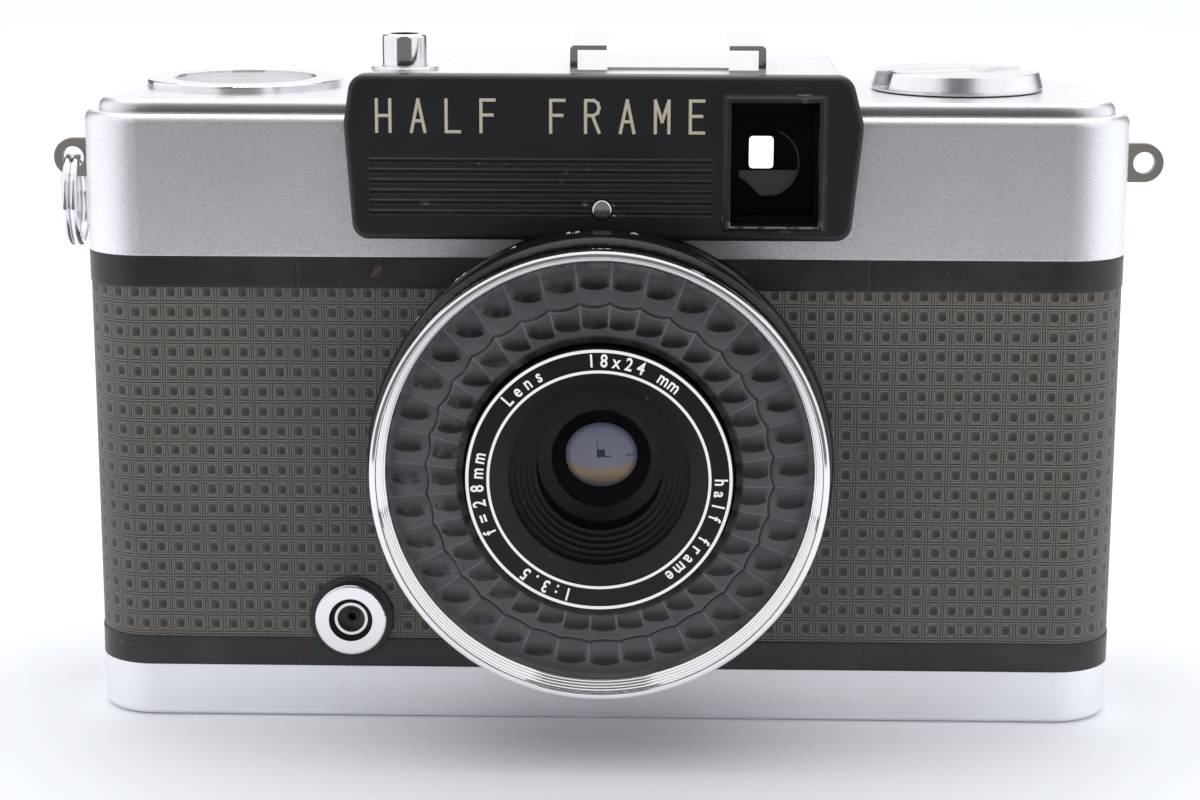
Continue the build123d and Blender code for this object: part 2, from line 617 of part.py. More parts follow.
def make_door_covering():
    skin = slab(SKIN_INSET, SKIN_LOW, SKIN_HIGH) - slab(SKIN_RECESS, SKIN_LOW - 1, SKIN_HIGH + 1)
    skin = skin & block(-SIDE - 1, SIDE + 1, SPLIT_Y + 0.25, BACK + 1, 0, COVER_LOW)
    return skin - rod_z(HINGE, HINGE_RELIEF_R + 1.2, 0, COVER_LOW)


def make_hinge_pin():
    return rod_z(HINGE, HINGE_PIN_R, BODY_KNUCKLES[0][0], BODY_KNUCKLES[1][1])


def make_pressure_plate():
    plate = block(-11.8, 23.8, FILM_PLANE + 0.2, FILM_PLANE + 1.0, LENS_Z - 17.2, LENS_Z + 17.2)
    plate = fillet(plate.edges().filter_by(Axis.Y), 1.5)
    for guide_z in GUIDES_Z:
        plate += rod_y((GUIDE_X, guide_z), GUIDE_R, FILM_PLANE + 0.5, 13.3)
    return plate


def make_door_latch():
    plate = block(SIDE - 1.25, SIDE + 0.45, 2.6, 7.6, 21.5, 33.5)
    plate = fillet(plate.edges().filter_by(Axis.X), 1.0)
    for index in range(5):
        ridge_z = 24.5 + 1.5 * index
        plate += block(SIDE + 0.4, SIDE + 0.85, 3.2, 7.0, ridge_z - 0.35, ridge_z + 0.35)
    return plate


# ------------------------------------------------------------------ lens and meter ring
def make_lens_flange():
    seat = FRONT + SKIN_RECESS
    return lens_turn([
        (19.0, seat), (FLANGE_R, seat), (FLANGE_R, FRONT - 7.2), (20.4, FRONT - 7.2), (20.4, FRONT - 13.9),
        (20.25, FRONT - 13.9), (20.25, FRONT - 12.9), (12.9, FRONT - 12.9), (12.9, FRONT - 12.3),
        (19.0, FRONT - 12.3),
    ])


def make_aperture_ring():
    return lens_turn([
        (20.4 + RUN, FRONT - 7.5), (22.7, FRONT - 7.5), (APERTURE_RING_R, FRONT - 8.1),
        (APERTURE_RING_R, FRONT - 12.1), (22.9, FRONT - 12.6), (20.4 + RUN, FRONT - 12.6),
    ])


def make_film_speed_ring():
    return lens_turn([
        (20.4 + RUN, FRONT - 12.9), (22.3, FRONT - 12.9), (22.3, FRONT - 14.6), (BEZEL_R, FRONT - 15.0),
        (BEZEL_R, BEZEL_FRONT + 0.3), (BEZEL_R - 0.3, BEZEL_FRONT), (FILTER_R + 0.4, BEZEL_FRONT),
        (FILTER_R, BEZEL_FRONT + 0.4), (FILTER_R, FRONT - 13.8), (20.4 + RUN, FRONT - 13.8),
    ])


def make_bubble_glass():
    """The moulded ring of lenslets over the meter cell, with the groove between its two rows."""
    back = FRONT - 14.0
    return lens_turn([
        (13.4, back), (21.0, back), (21.0, back - 0.5), (17.3, back - 1.35), (17.0, back - 0.9), (16.7, back - 1.5),
        (13.4, back - 2.0),
    ])


def make_selenium_cell():
    return lens_turn([(13.6, FRONT - 13.0), (20.1, FRONT - 13.0), (20.1, FRONT - 13.8), (13.6, FRONT - 13.8)])


def make_name_ring():
    return lens_turn([
        (NAME_RING_R, FRONT - 14.2), (NAME_RING_R, FRONT - 17.3), (NAME_RING_HOLE_R, FRONT - 17.3),
        (8.9, FRONT - 15.9), (8.9, FRONT - 15.5), (12.6, FRONT - 15.5), (12.6, FRONT - 14.2),
    ])


def make_lens_barrel():
    """The fixed inner barrel, with anti-glare steps in front of the front element."""
    steps = 5
    outline = [(12.6, FRONT - 6.0), (12.6, FRONT - 15.5), (8.9, FRONT - 15.5)]
    for index in range(steps):
        radius = 8.9 - 2.6 * (index + 1) / steps
        depth = FRONT - 15.5 + 2.9 * (index + 1) / steps
        outline += [(outline[-1][0], depth), (radius, depth)]
    outline += [(6.3, FRONT - 12.4), (7.6, FRONT - 12.4), (7.6, FRONT - 9.0), (5.0, FRONT - 8.0), (5.0, FRONT - 6.0)]
    return lens_turn(outline)


def make_front_element():
    return Pos(0, 0, LENS_Z) * lens_disc(7.6, FRONT - 12.0, FRONT - 9.6, 1.1, 0.1)


def make_rear_element():
    return Pos(0, 0, LENS_Z) * lens_disc(5.2, FRONT - 0.6, FRONT + 1.4, 0.3, 0.7)


def blade_post(angle):
    """The (x, z) place of a blade's pivot post, at an angle round the lens axis."""
    return (BLADE_ARM * math.cos(math.radians(angle)), LENS_Z + BLADE_ARM * math.sin(math.radians(angle)))


APERTURE_POST_ANGLES = {"left": 135, "right": -45}
SHUTTER_POST_ANGLES = {"left": 180, "right": 0}


def make_shutter_housing():
    case = rod_y((0, LENS_Z), 18.4, FRONT - 6.0, FRONT + 1.2)
    case -= rod_y((0, LENS_Z), HOUSING_CAVITY_R, FRONT - 5.2, FRONT + 0.4)
    for angle in (*APERTURE_POST_ANGLES.values(), *SHUTTER_POST_ANGLES.values()):
        case += rod_y(blade_post(angle), BLADE_POST_R, FRONT - 5.3, FRONT + 0.5)
    case -= rod_y((0, LENS_Z), CLEAR_R, FRONT - 7, FRONT - 5)
    return case - rod_y((0, LENS_Z), 5.2, FRONT, FRONT + 3)


def blade_arm(angle, y0, y1):
    """A blade's arm, from the lens axis to its pivot post, with an eye round the post."""
    post = blade_post(angle)
    arm = Rot(0, -angle, 0) * block(0, BLADE_ARM, y0, y1, -1.6, 1.6)
    return Pos(0, 0, LENS_Z) * arm + rod_y(post, 2.0, y0, y1)


def make_aperture_blade(side, y0):
    angle = APERTURE_POST_ANGLES[side]
    y1 = y0 + 0.3
    blade = rod_y((0, LENS_Z), 7.0, y0, y1) + blade_arm(angle, y0, y1)
    blade -= rod_y((0, LENS_Z), CLEAR_R + 0.1, y0 - 1, y1 + 1)
    return blade - rod_y(blade_post(angle), BLADE_POST_R + RUN, y0 - 1, y1 + 1)


def make_shutter_blade(side, y0):
    angle = SHUTTER_POST_ANGLES[side]
    y1 = y0 + 0.3
    blade = rod_y((0, LENS_Z), 5.0, y0, y1) + blade_arm(angle, y0, y1)
    return blade - rod_y(blade_post(angle), BLADE_POST_R + RUN, y0 - 1, y1 + 1)


# ------------------------------------------------------------------ sync socket
def make_sync_socket_ring():
    ring = rod_y(SYNC, 3.8, FRONT - 1.25, FRONT - 0.25)
    ring = fillet(ring.edges().group_by(Axis.Y)[0], 0.25)
    ring += rod_y(SYNC, 3.0, FRONT - 0.3, FRONT + 3.0)
    return ring - rod_y(SYNC, 2.3, FRONT - 3, FRONT + 2.4)


def make_sync_socket_contacts():
    """The contact tube and the centre contact, held in the socket's insulating floor."""
    tube = rod_y(SYNC, 1.75, FRONT - 0.7, FRONT + 2.4) - rod_y(SYNC, 1.45, FRONT - 3, FRONT + 1.6)
    return tube + (rod_y(SYNC, 0.75, FRONT + 0.2, FRONT + 2.4) - rod_y(SYNC, 0.45, FRONT - 2, FRONT + 1.5))


NODES = {
    "bottom_plate": make_bottom_plate(),
    "tripod_bush": make_tripod_bush(),
    "base_screws": make_base_screws(),
    "rewind_release_button": make_rewind_release_button(),
    "body_casting": make_body_casting(),
    "front_plate": make_front_plate(),
    "front_covering_left": make_front_covering(True),
    "front_covering_right": make_front_covering(False),
    "top_cover": make_top_cover(),
    "strap_lug_left": make_strap_lug(-1),
    "strap_lug_right": make_strap_lug(1),
    "split_ring": make_split_ring(),
    "accessory_shoe": make_accessory_shoe(),
    "fascia": make_fascia(),
    "index_pin": make_index_pin(),
    "viewfinder_window": make_viewfinder_window(),
    "viewfinder_tunnel": make_viewfinder_tunnel(),
    "viewfinder_objective": make_viewfinder_objective(),
    "eyepiece_frame": make_eyepiece_frame(),
    "eyepiece_lens": make_eyepiece_lens(),
    "low_light_flag": make_low_light_flag(),
    "button_collar": make_button_collar(),
    "shutter_button": make_shutter_button(),
    "release_rod": make_release_rod(),
    "button_spring": make_button_spring(),
    "counter_bezel": make_counter_bezel(),
    "counter_window": make_counter_window(),
    "counter_bridge": make_counter_bridge(),
    "counter_dial": make_counter_dial(),
    "galvanometer": make_galvanometer(),
    "meter_needle": make_meter_needle(),
    "advance_thumbwheel": make_advance_thumbwheel(),
    "take_up_spool": make_take_up_spool(),
    "film_sprocket": make_film_sprocket(),
    "rewind_knob": make_rewind_knob(),
    "rewind_crank": make_rewind_crank(),
    "crank_handle": make_crank_handle(),
    "rewind_shaft": make_rewind_shaft(),
    "rewind_collar": make_rewind_collar(),
    "back_door": make_back_door(),
    "door_covering": make_door_covering(),
    "hinge_pin": make_hinge_pin(),
    "pressure_plate": make_pressure_plate(),
    "door_latch": make_door_latch(),
    "lens_flange": make_lens_flange(),
    "aperture_ring": make_aperture_ring(),
    "film_speed_ring": make_film_speed_ring(),
    "bubble_glass": make_bubble_glass(),
    "selenium_cell": make_selenium_cell(),
    "name_ring": make_name_ring(),
    "lens_barrel": make_lens_barrel(),
    "front_element": make_front_element(),
    "rear_element": make_rear_element(),
    "shutter_housing": make_shutter_housing(),
    "aperture_blade_left": make_aperture_blade("left", FRONT - 4.6),
    "aperture_blade_right": make_aperture_blade("right", FRONT - 4.0),
    "shutter_blade_left": make_shutter_blade("left", FRONT - 3.2),
    "shutter_blade_right": make_shutter_blade("right", FRONT - 2.6),
    "sync_socket_ring": make_sync_socket_ring(),
    "sync_socket_contacts": make_sync_socket_contacts(),
}

os.makedirs("parts", exist_ok=True)
for name, shape in NODES.items():
    export_step(shape, f"parts/{name}.step")
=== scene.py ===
import json
import math

import bpy
from mathutils import Matrix, Vector


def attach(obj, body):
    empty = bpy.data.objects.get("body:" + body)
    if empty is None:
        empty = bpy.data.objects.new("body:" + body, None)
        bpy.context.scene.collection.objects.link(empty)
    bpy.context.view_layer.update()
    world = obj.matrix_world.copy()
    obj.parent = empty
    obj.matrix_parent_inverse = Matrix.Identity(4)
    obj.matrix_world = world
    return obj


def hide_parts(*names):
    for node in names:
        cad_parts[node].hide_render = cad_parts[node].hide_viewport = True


MM = 0.001

# ------------------------------------------------------------------ sizes shared with the CAD, in millimetres
FRONT = -15.5
LENS_Z = 30.5
SKIN_R = 6.2
SKIN_HIGH = 46.35
STRAIGHT_X = 47.7
STRAIGHT_Y = 9.2
BEZEL_FRONT = FRONT - 17.0
SYNC = (-26.45, 11.15)
COUNTER = (-39.1, 2.9)
FOOT_Z = 64.1
GROOVE_LOW = 54.6
GROOVE_PITCH = 1.05

# ------------------------------------------------------------------ sizes of the visual pieces, in millimetres
CELL_H = 2.09
LENSLETS = 36
LENSLET_TURN = math.radians(3.3)
NAME_FACE = FRONT - 17.3
LETTER_SCALE = 1.38
OBJECTIVE = (16.35, 59.3)
FLOOR_DROP = 0.03

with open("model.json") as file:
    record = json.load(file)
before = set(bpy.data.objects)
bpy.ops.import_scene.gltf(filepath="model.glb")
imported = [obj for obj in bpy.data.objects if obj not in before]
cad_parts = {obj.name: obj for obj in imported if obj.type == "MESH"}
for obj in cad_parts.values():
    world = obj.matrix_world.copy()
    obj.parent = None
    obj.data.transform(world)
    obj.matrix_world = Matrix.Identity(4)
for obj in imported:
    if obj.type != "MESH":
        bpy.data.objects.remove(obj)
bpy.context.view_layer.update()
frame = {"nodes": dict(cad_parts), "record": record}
nodes = frame["nodes"]


# ------------------------------------------------------------------ node trees
class Num:
    """A number in a node tree. Arithmetic on it adds Math nodes."""

    def __init__(self, tree, socket):
        self.tree = tree
        self.socket = socket

    def math(self, operation, *others, clamp=False):
        node = self.tree.nodes.new("ShaderNodeMath")
        node.operation = operation
        node.use_clamp = clamp
        self.tree.links.new(self.socket, node.inputs[0])
        for index, other in enumerate(others, 1):
            if isinstance(other, Num):
                self.tree.links.new(other.socket, node.inputs[index])
            else:
                node.inputs[index].default_value = other
        return Num(self.tree, node.outputs[0])

    def __add__(self, other):
        return self.math("ADD", other)

    def __sub__(self, other):
        return self.math("SUBTRACT", other)

    def __mul__(self, other):
        return self.math("MULTIPLY", other)

    def fract(self):
        return self.math("FRACT")

    def abs(self):
        return self.math("ABSOLUTE")

    def power(self, exponent):
        return self.math("POWER", exponent)

    def step(self, low, high):
        """0 below low, 1 above high, smooth between."""
        node = self.tree.nodes.new("ShaderNodeMapRange")
        node.interpolation_type = "SMOOTHSTEP"
        node.inputs["From Min"].default_value = low
        node.inputs["From Max"].default_value = high
        self.tree.links.new(self.socket, node.inputs["Value"])
        return Num(self.tree, node.outputs["Result"])


class Finish:
    """A procedural material on a Principled shader."""

    def __init__(self, name, color, roughness, metallic=0.0, **sockets):
        self.material = bpy.data.materials.new(name)
        self.material.use_nodes = True
        self.tree = self.material.node_tree
        self.shader = self.tree.nodes["Principled BSDF"]
        self.shader.inputs["Base Color"].default_value = (*color, 1.0)
        self.shader.inputs["Roughness"].default_value = roughness
        self.shader.inputs["Metallic"].default_value = metallic
        for socket, value in sockets.items():
            self.shader.inputs[socket.replace("_", " ")].default_value = value
        self.material.diffuse_color = (*color, 1.0)
        self.color = color
        self.roughness = roughness
        self.normal = None

    def add(self, kind, **inputs):
        node = self.tree.nodes.new(kind)
        for name, value in inputs.items():
            self.plug(node.inputs[name.replace("_", " ")], value)
        return node

    def plug(self, socket, value):
        if isinstance(value, Num):
            self.tree.links.new(value.socket, socket)
        elif isinstance(value, bpy.types.NodeSocket):
            self.tree.links.new(value, socket)
        else:
            socket.default_value = value

    def place(self):
        """The point's place in the object, in metres."""
        return self.add("ShaderNodeTexCoord").outputs["Object"]

    def stretched(self, scale):
        mapping = self.add("ShaderNodeMapping", Vector=self.place(), Scale=scale)
        return mapping.outputs["Vector"]

    def noise(self, scale, detail=3.0, rough=0.55, vector=None):
        node = self.add(
            "ShaderNodeTexNoise", Vector=vector or self.place(), Scale=scale, Detail=detail, Roughness=rough
        )
        return Num(self.tree, node.outputs["Fac"])

    def axis(self, letter, vector=None):
        node = self.add("ShaderNodeSeparateXYZ", Vector=vector or self.place())
        return Num(self.tree, node.outputs[letter])

    def blend(self, amount, first, second):
        node = self.add("ShaderNodeMix")
        node.data_type = "RGBA"
        colour_in = [s for s in node.inputs if s.type == "RGBA"]
        self.plug(node.inputs["Factor"], amount)
        for socket, value in zip(colour_in, (first, second)):
            self.plug(socket, value if isinstance(value, bpy.types.NodeSocket) else (*value, 1.0))
        return [s for s in node.outputs if s.type == "RGBA"][0]

    def paint(self, amount, second):
        """Mixes a second colour over what the base colour is so far."""
        base = self.shader.inputs["Base Color"]
        first = base.links[0].from_socket if base.links else self.color
        self.plug(base, self.blend(amount, first, second))
        return self

    def rough(self, amount, second):
        """Moves the roughness towards a second value by an amount."""
        socket = self.shader.inputs["Roughness"]
        first = Num(self.tree, socket.links[0].from_socket) if socket.links else None
        if first:
            value = first + (first * -1.0 + second) * amount
        else:
            value = amount * (second - self.roughness) + self.roughness
        self.plug(socket, value)
        return self

    def metal(self, amount):
        self.plug(self.shader.inputs["Metallic"], amount)
        return self

    def bump(self, height, depth, strength=1.0):
        """Adds relief. depth is in metres for a height from 0 to 1."""
        inputs = {"Height": height, "Distance": depth, "Strength": strength}
        if self.normal is not None:
            inputs["Normal"] = self.normal
        node = self.add("ShaderNodeBump", **inputs)
        self.normal = node.outputs["Normal"]
        self.plug(self.shader.inputs["Normal"], self.normal)
        return self

    def soft_edges(self, radius):
        """Rounds sharp edges in the shading by a radius in metres."""
        bevel = self.add("ShaderNodeBevel", Radius=radius)
        bevel.samples = 4
        self.normal = bevel.outputs["Normal"]
        self.plug(self.shader.inputs["Normal"], self.normal)
        return self

    def edges(self, radius):
        """1 on outer and inner edges, within a radius in metres, and 0 on flats."""
        bevel = self.add("ShaderNodeBevel", Radius=radius)
        bevel.samples = 4
        flat = self.add("ShaderNodeNewGeometry")
        dot = self.tree.nodes.new("ShaderNodeVectorMath")
        dot.operation = "DOT_PRODUCT"
        self.tree.links.new(bevel.outputs["Normal"], dot.inputs[0])
        self.tree.links.new(flat.outputs["Normal"], dot.inputs[1])
        return Num(self.tree, dot.outputs["Value"]).step(0.97, 0.8)


def satin_chrome(name="satin_chrome", roughness=0.33, pearl=0.42):
    """Matte plating: fine pearl grain, faint stains and polished edges. The dark band at the foot of the cover's
    step is painted shade, to stand for a steeper riser than the cover has."""
    finish = Finish(name, (0.925, 0.93, 0.955), roughness, 1.0)
    finish.soft_edges(0.0002)
    stains = finish.noise(38.0, 4.0, 0.6)
    finish.paint(stains.step(0.42, 0.72) * 0.4, (0.81, 0.792, 0.815))
    grain = finish.noise(5200.0, 3.0, 0.75)
    finish.rough(grain.step(0.35, 0.65), roughness + 0.08)
    x, z = finish.axis("X"), finish.axis("Z")
    faint = z.step(0.004, 0.012) * x.abs().step(0.054, 0.047)
    finish.paint(grain.step(0.42, 0.66) * faint * pearl, (0.38, 0.38, 0.395))
    foot_z = FOOT_Z * MM
    # Painted shade: a dark band at the foot of the cover's step.
    foot = z.step(foot_z - 0.00002, foot_z + 0.00008) * z.step(foot_z + 0.0013, foot_z + 0.0008)
    finish.paint(foot * x.abs().step(0.052, 0.045) * 0.85, (0.24, 0.245, 0.26))
    finish.bump(grain, 0.00002)
    return finish.material


def bright_chrome():
    """Polished plating with fine wiping marks."""
    finish = Finish("bright_chrome", (0.86, 0.86, 0.87), 0.06, 1.0)
    finish.soft_edges(0.00006)
    marks = finish.noise(1.0, 5.0, 0.7, finish.stretched((900.0, 260.0, 2600.0)))
    finish.rough(marks.step(0.5, 0.8), 0.16)
    dust = finish.noise(260.0, 5.0, 0.7)
    finish.paint(dust.step(0.6, 0.75) * 0.3, (0.6, 0.58, 0.56))
    return finish.material


def black_band():
    """The enamelled bands: hazy, with open joints beside the front plate and one old chip."""
    finish = Finish("black_band", (0.0125, 0.013, 0.015), 0.3, 0.0, Specular_IOR_Level=0.45)
    finish.soft_edges(0.0005)
    haze = finish.noise(110.0, 5.0, 0.6)
    finish.paint(haze.step(0.42, 0.75) * 0.6, (0.035, 0.034, 0.035))
    specks = finish.noise(2100.0, 1.0).step(0.74, 0.76)
    finish.paint(specks * 0.35, (0.16, 0.15, 0.14))
    x = finish.axis("X")
    front = finish.axis("Y").step(-0.0146, -0.0152)
    for joint in (-0.0315, 0.0273):
        line = (x - joint).abs().step(0.00014, 0.00006) * front
        finish.paint(line * 0.9, (0.05, 0.022, 0.013))
    across, rise = x + 0.0233, finish.axis("Z") - 0.0481
    long = (across * 0.62 + rise * 0.78) * 1150.0
    wide = (across * -0.78 + rise * 0.62) * 3400.0
    chip = (long.power(2.0) + wide.power(2.0) + finish.noise(1500.0) * 1.2 - 0.4).step(1.25, 0.85) * front
    finish.paint(chip * 0.85, (0.095, 0.042, 0.028))
    finish.rough(haze, 0.42)
    finish.bump(finish.noise(2200.0, 2.0), 0.000006)
    return finish.material


def tunnel_black():
    """Flat black inside the finder."""
    finish = Finish("tunnel_black", (0.003, 0.003, 0.003), 0.8, 0.0, Specular_IOR_Level=0.1)
    finish.paint(finish.noise(900.0) * 0.4, (0.006, 0.006, 0.006))
    return finish.material


def fascia_paint():
    """The fascia's black paint: scuffed at its top edge and upper corner.
    A highlight is painted on the grooves' light lips and along its edges.
    """
    finish = Finish("fascia_paint", (0.0095, 0.01, 0.0115), 0.34, 0.0, Specular_IOR_Level=0.42)
    finish.soft_edges(0.00035)
    edge = finish.edges(0.0003)
    patches = finish.noise(300.0, 6.0, 0.7)
    chips = finish.noise(1300.0, 3.0, 0.6)
    z, x = finish.axis("Z"), finish.axis("X")
    high = z.step(0.066, 0.0684)
    corner = high * x.step(0.012, 0.023)
    sill = (z - 0.0534).abs().step(0.0008, 0.0004) * (x - 0.01725).abs().step(0.0052, 0.0046)
    groove = z * (1000.0 / GROOVE_PITCH) - (GROOVE_LOW / GROOVE_PITCH - 0.5)
    lip = (groove.fract() - 0.5 - 0.2).abs().step(0.13, 0.06)
    panel = z.step(0.0544, 0.0545) * z.step(0.0604, 0.0602) * x.step(-0.0238, -0.0233) * x.step(0.0113, 0.0108)
    # Painted highlight: a light line along each groove.
    finish.paint(lip * panel * 0.8, (0.08, 0.083, 0.092))
    worn = edge * (patches + high * 0.05 + corner * 0.1 + sill * 0.14).step(0.62, 0.66) * chips.step(0.42, 0.52)
    haze = finish.noise(90.0, 4.0, 0.6)
    finish.paint(haze.step(0.4, 0.8) * 0.5, (0.018, 0.0185, 0.021))
    # Painted highlight along the fascia's edges.
    finish.paint(edge * 0.4, (0.035, 0.037, 0.042))
    finish.paint(worn, (0.5, 0.52, 0.55))
    finish.metal(worn * 0.8)
    finish.bump(finish.noise(2600.0, 2.0), 0.000008)
    return finish.material


def leatherette():
    """Embossed vinyl: dished squares, with three fine ridges between them both ways.
    The dark valleys and pits, darker at each pit's lower right, are painted shade; the light pit rims are a painted
    highlight.
    """
    finish = Finish("leatherette", (0.165, 0.15, 0.132), 0.5, 0.0, Specular_IOR_Level=0.35, Sheen_Weight=0.12)
    spread = finish.add("ShaderNodeUVMap")
    spread.uv_map = "along_body"
    wander = finish.noise(170.0, 2.0)
    across = finish.axis("X", spread.outputs["UV"]) + wander * 0.05
    down = finish.axis("Y", spread.outputs["UV"]) + wander * 0.05
    left, top = across.fract() - 0.5, down.fract() - 0.5
    u, v = left.abs(), top.abs()
    reach = (u.power(4.0) + v.power(4.0)).power(0.25)
    pit = reach.step(0.27, 0.22)
    rim = reach.step(0.22, 0.255) * reach.step(0.31, 0.285)
    around = reach.step(0.285, 0.31)
    ridge_u = ((u * -1.0 + 0.5) * (math.tau / 0.14)).math("COSINE") * u.step(0.28, 0.31)
    ridge_v = ((v * -1.0 + 0.5) * (math.tau / 0.14)).math("COSINE") * v.step(0.28, 0.31)
    gap = ((ridge_u + ridge_v) * -1.0).step(-0.7, 0.75) * around
    shade = ((left - 0.07).power(2.0) + (top - 0.05).power(2.0)).step(0.05, 0.012) * pit
    # Painted shade in the valleys and pits, darker at each pit's lower right, and a painted highlight on the pit rims.
    finish.paint(gap, (0.022, 0.0195, 0.017))
    finish.paint(pit * 0.95, (0.058, 0.05, 0.042))
    finish.paint(shade * 0.85, (0.026, 0.022, 0.018))
    finish.paint(rim * 0.6, (0.21, 0.195, 0.175))
    patches = finish.noise(60.0, 4.0)
    finish.paint(patches.step(0.45, 0.75) * 0.22, (0.05, 0.045, 0.039))
    height = (ridge_u + ridge_v) * 0.08 + rim * 0.2 - pit * 0.6
    finish.bump(height, 0.0002)
    finish.bump(finish.noise(6000.0, 2.0), 0.00001)
    return finish.material


def lens_black():
    """Black anodising inside the lens, with a faint turned grain."""
    finish = Finish("lens_black", (0.0038, 0.0041, 0.005), 0.3, 0.0, Specular_IOR_Level=0.28)
    finish.soft_edges(0.00012)
    grain = finish.noise(2600.0, 2.0)
    finish.rough(grain, 0.42)
    finish.paint(grain.step(0.6, 0.8) * 0.5, (0.01, 0.0105, 0.012))
    return finish.material


def ring_black():
    """Gloss black enamel on the lens rings."""
    finish = Finish("ring_black", (0.003, 0.0032, 0.004), 0.24, 0.0, Specular_IOR_Level=0.4)
    finish.soft_edges(0.00015)
    marks = finish.noise(700.0, 4.0, 0.65)
    finish.rough(marks.step(0.45, 0.8), 0.34)
    worn = finish.edges(0.00025) * marks.step(0.52, 0.56)
    finish.paint(worn, (0.3, 0.31, 0.33))
    finish.metal(worn * 0.8)
    return finish.material


def glass(name, tint=(0.02, 0.022, 0.03), clear=0.012):
    """Clear coated glass: see-through face on, with more reflection at a slant."""
    finish = Finish(name, tint, 0.03, 0.0, Specular_IOR_Level=0.9)
    slant = finish.add("ShaderNodeLayerWeight")
    slant.inputs["Blend"].default_value = 0.4
    smears = finish.noise(160.0, 4.0, 0.7)
    finish.paint(smears.step(0.5, 0.9) * 0.3, tuple(c * 1.6 for c in tint))
    opaque = Num(finish.tree, slant.outputs["Facing"]).power(4.0) * 0.4 + clear
    finish.plug(finish.shader.inputs["Alpha"], opaque)
    return finish.material


def crystal():
    """The counter's window: clear from above, and a denser pale grey at a slant, in place of a reflection."""
    finish = Finish("crystal", (0.55, 0.57, 0.6), 0.12, 0.0, Specular_IOR_Level=0.8)
    slant = finish.add("ShaderNodeLayerWeight")
    slant.inputs["Blend"].default_value = 0.5
    finish.paint(finish.noise(300.0, 4.0, 0.7) * 0.3, (0.4, 0.42, 0.45))
    opaque = Num(finish.tree, slant.outputs["Facing"]).power(3.5) * 0.9 + 0.06
    finish.plug(finish.shader.inputs["Alpha"], opaque)
    return finish.material


def contacts():
    """The socket's bright tube and its dark middle contact."""
    finish = Finish("contacts", (0.8, 0.79, 0.76), 0.22, 1.0)
    x, z = finish.axis("X") * 1000.0 - SYNC[0], finish.axis("Z") * 1000.0 - SYNC[1]
    middle = (x * x + z * z).step(1.9, 1.6)
    finish.paint(finish.noise(900.0, 3.0).step(0.5, 0.8) * 0.4, (0.5, 0.49, 0.46))
    finish.paint(middle, (0.012, 0.011, 0.01))
    finish.rough(middle, 0.5)
    finish.metal(middle * -1.0 + 1.0)
    return finish.material


def lenslet_glass():
    """The moulded ring over the meter cell. The dark half-moons are a painted reflection, the light seams and the light
    line beside the groove are painted highlights, and the dark groove is painted shade. Each lenslet's brightness is
    painted too, under a cloudy grey sheen that is painted, stronger on the left side."""
    finish = Finish("lenslet_glass", (0.06, 0.0605, 0.067), 0.3, 0.0, Specular_IOR_Level=0.3)
    x, z = finish.axis("X") * 1000.0, finish.axis("Z") * 1000.0 - LENS_Z
    reach = (x * x + z * z).power(0.5)
    turn = z.math("ARCTAN2", x) * (LENSLETS / math.tau) + LENSLETS * (1 + LENSLET_TURN / math.tau)
    part = turn.fract()
    middle = (turn - part + 0.5) * (math.tau / LENSLETS) - LENSLET_TURN
    edge = (part - 0.5).abs() * 2.0
    off = reach - edge.power(2.0) * 0.35 - 16.85
    outer_row = off.step(-0.02, 0.02)
    row = outer_row * 3.75 + 15.3
    cell = ((turn - part + outer_row * 57.0) * 12.99).math("SINE") * 43.7
    finish.paint(cell.fract() * 0.3, (0.105, 0.106, 0.114))
    across, up = x - middle.math("COSINE") * row, z - middle.math("SINE") * row
    cloud = finish.noise(420.0, 5.0, 0.75)
    wide = (across * (1 / 1.5)).power(2.0)
    low = (wide + (up * (1 / 0.55)).power(2.0)).step(1.15, 0.75) * up.step(0.02, -0.02)
    high = up.step(1.35, -0.15) * up.step(-0.02, 0.02) * wide.step(1.2, 0.35)
    # Painted reflection: a dark half-moon in each lenslet.
    finish.paint((low + high) * 0.96, (0.004, 0.004, 0.0045))
    seam = (edge * -1.0 + 1.0) * reach * (math.pi / LENSLETS)
    # Painted highlight on the seams, on the upper part of each lenslet.
    finish.paint(seam.step(0.16, 0.04) * up.step(-1.2, 0.6) * 0.6, (0.16, 0.162, 0.17))
    # Painted highlight beside the groove, and painted shade in the groove.
    finish.paint((off + 0.24).abs().step(0.1, 0.03) * 0.5, (0.13, 0.132, 0.14))
    finish.paint(off.abs().step(0.2, 0.06) * 0.85, (0.01, 0.01, 0.011))
    finish.paint(reach.step(14.3, 13.9), (0.006, 0.0058, 0.0055))
    finish.paint(reach.step(20.4, 20.9) * cloud.step(0.35, 0.6) * 0.7, (0.16, 0.16, 0.16))
    # Painted sheen, cloudy, stronger on the left side.
    side = finish.axis("X").step(0.004, -0.02) * 0.6 + 0.12
    finish.paint(cloud.step(0.46, 0.72) * side, (0.09, 0.092, 0.1))
    finish.rough(cloud.step(0.4, 0.8), 0.38)
    finish.bump(cloud, 0.00001)
    return finish.material


def plain_metal(name, color, roughness, grain=2500.0):
    """Plated or turned metal inside the camera."""
    finish = Finish(name, color, roughness, 1.0)
    finish.soft_edges(0.0001)
    turned = finish.noise(1.0, 3.0, 0.6, finish.stretched((grain, grain, grain * 0.2)))
    finish.rough(turned, roughness + 0.14)
    finish.paint(turned.step(0.55, 0.8) * 0.4, tuple(c * 0.7 for c in color))
    finish.bump(turned, 0.000003)
    return finish.material


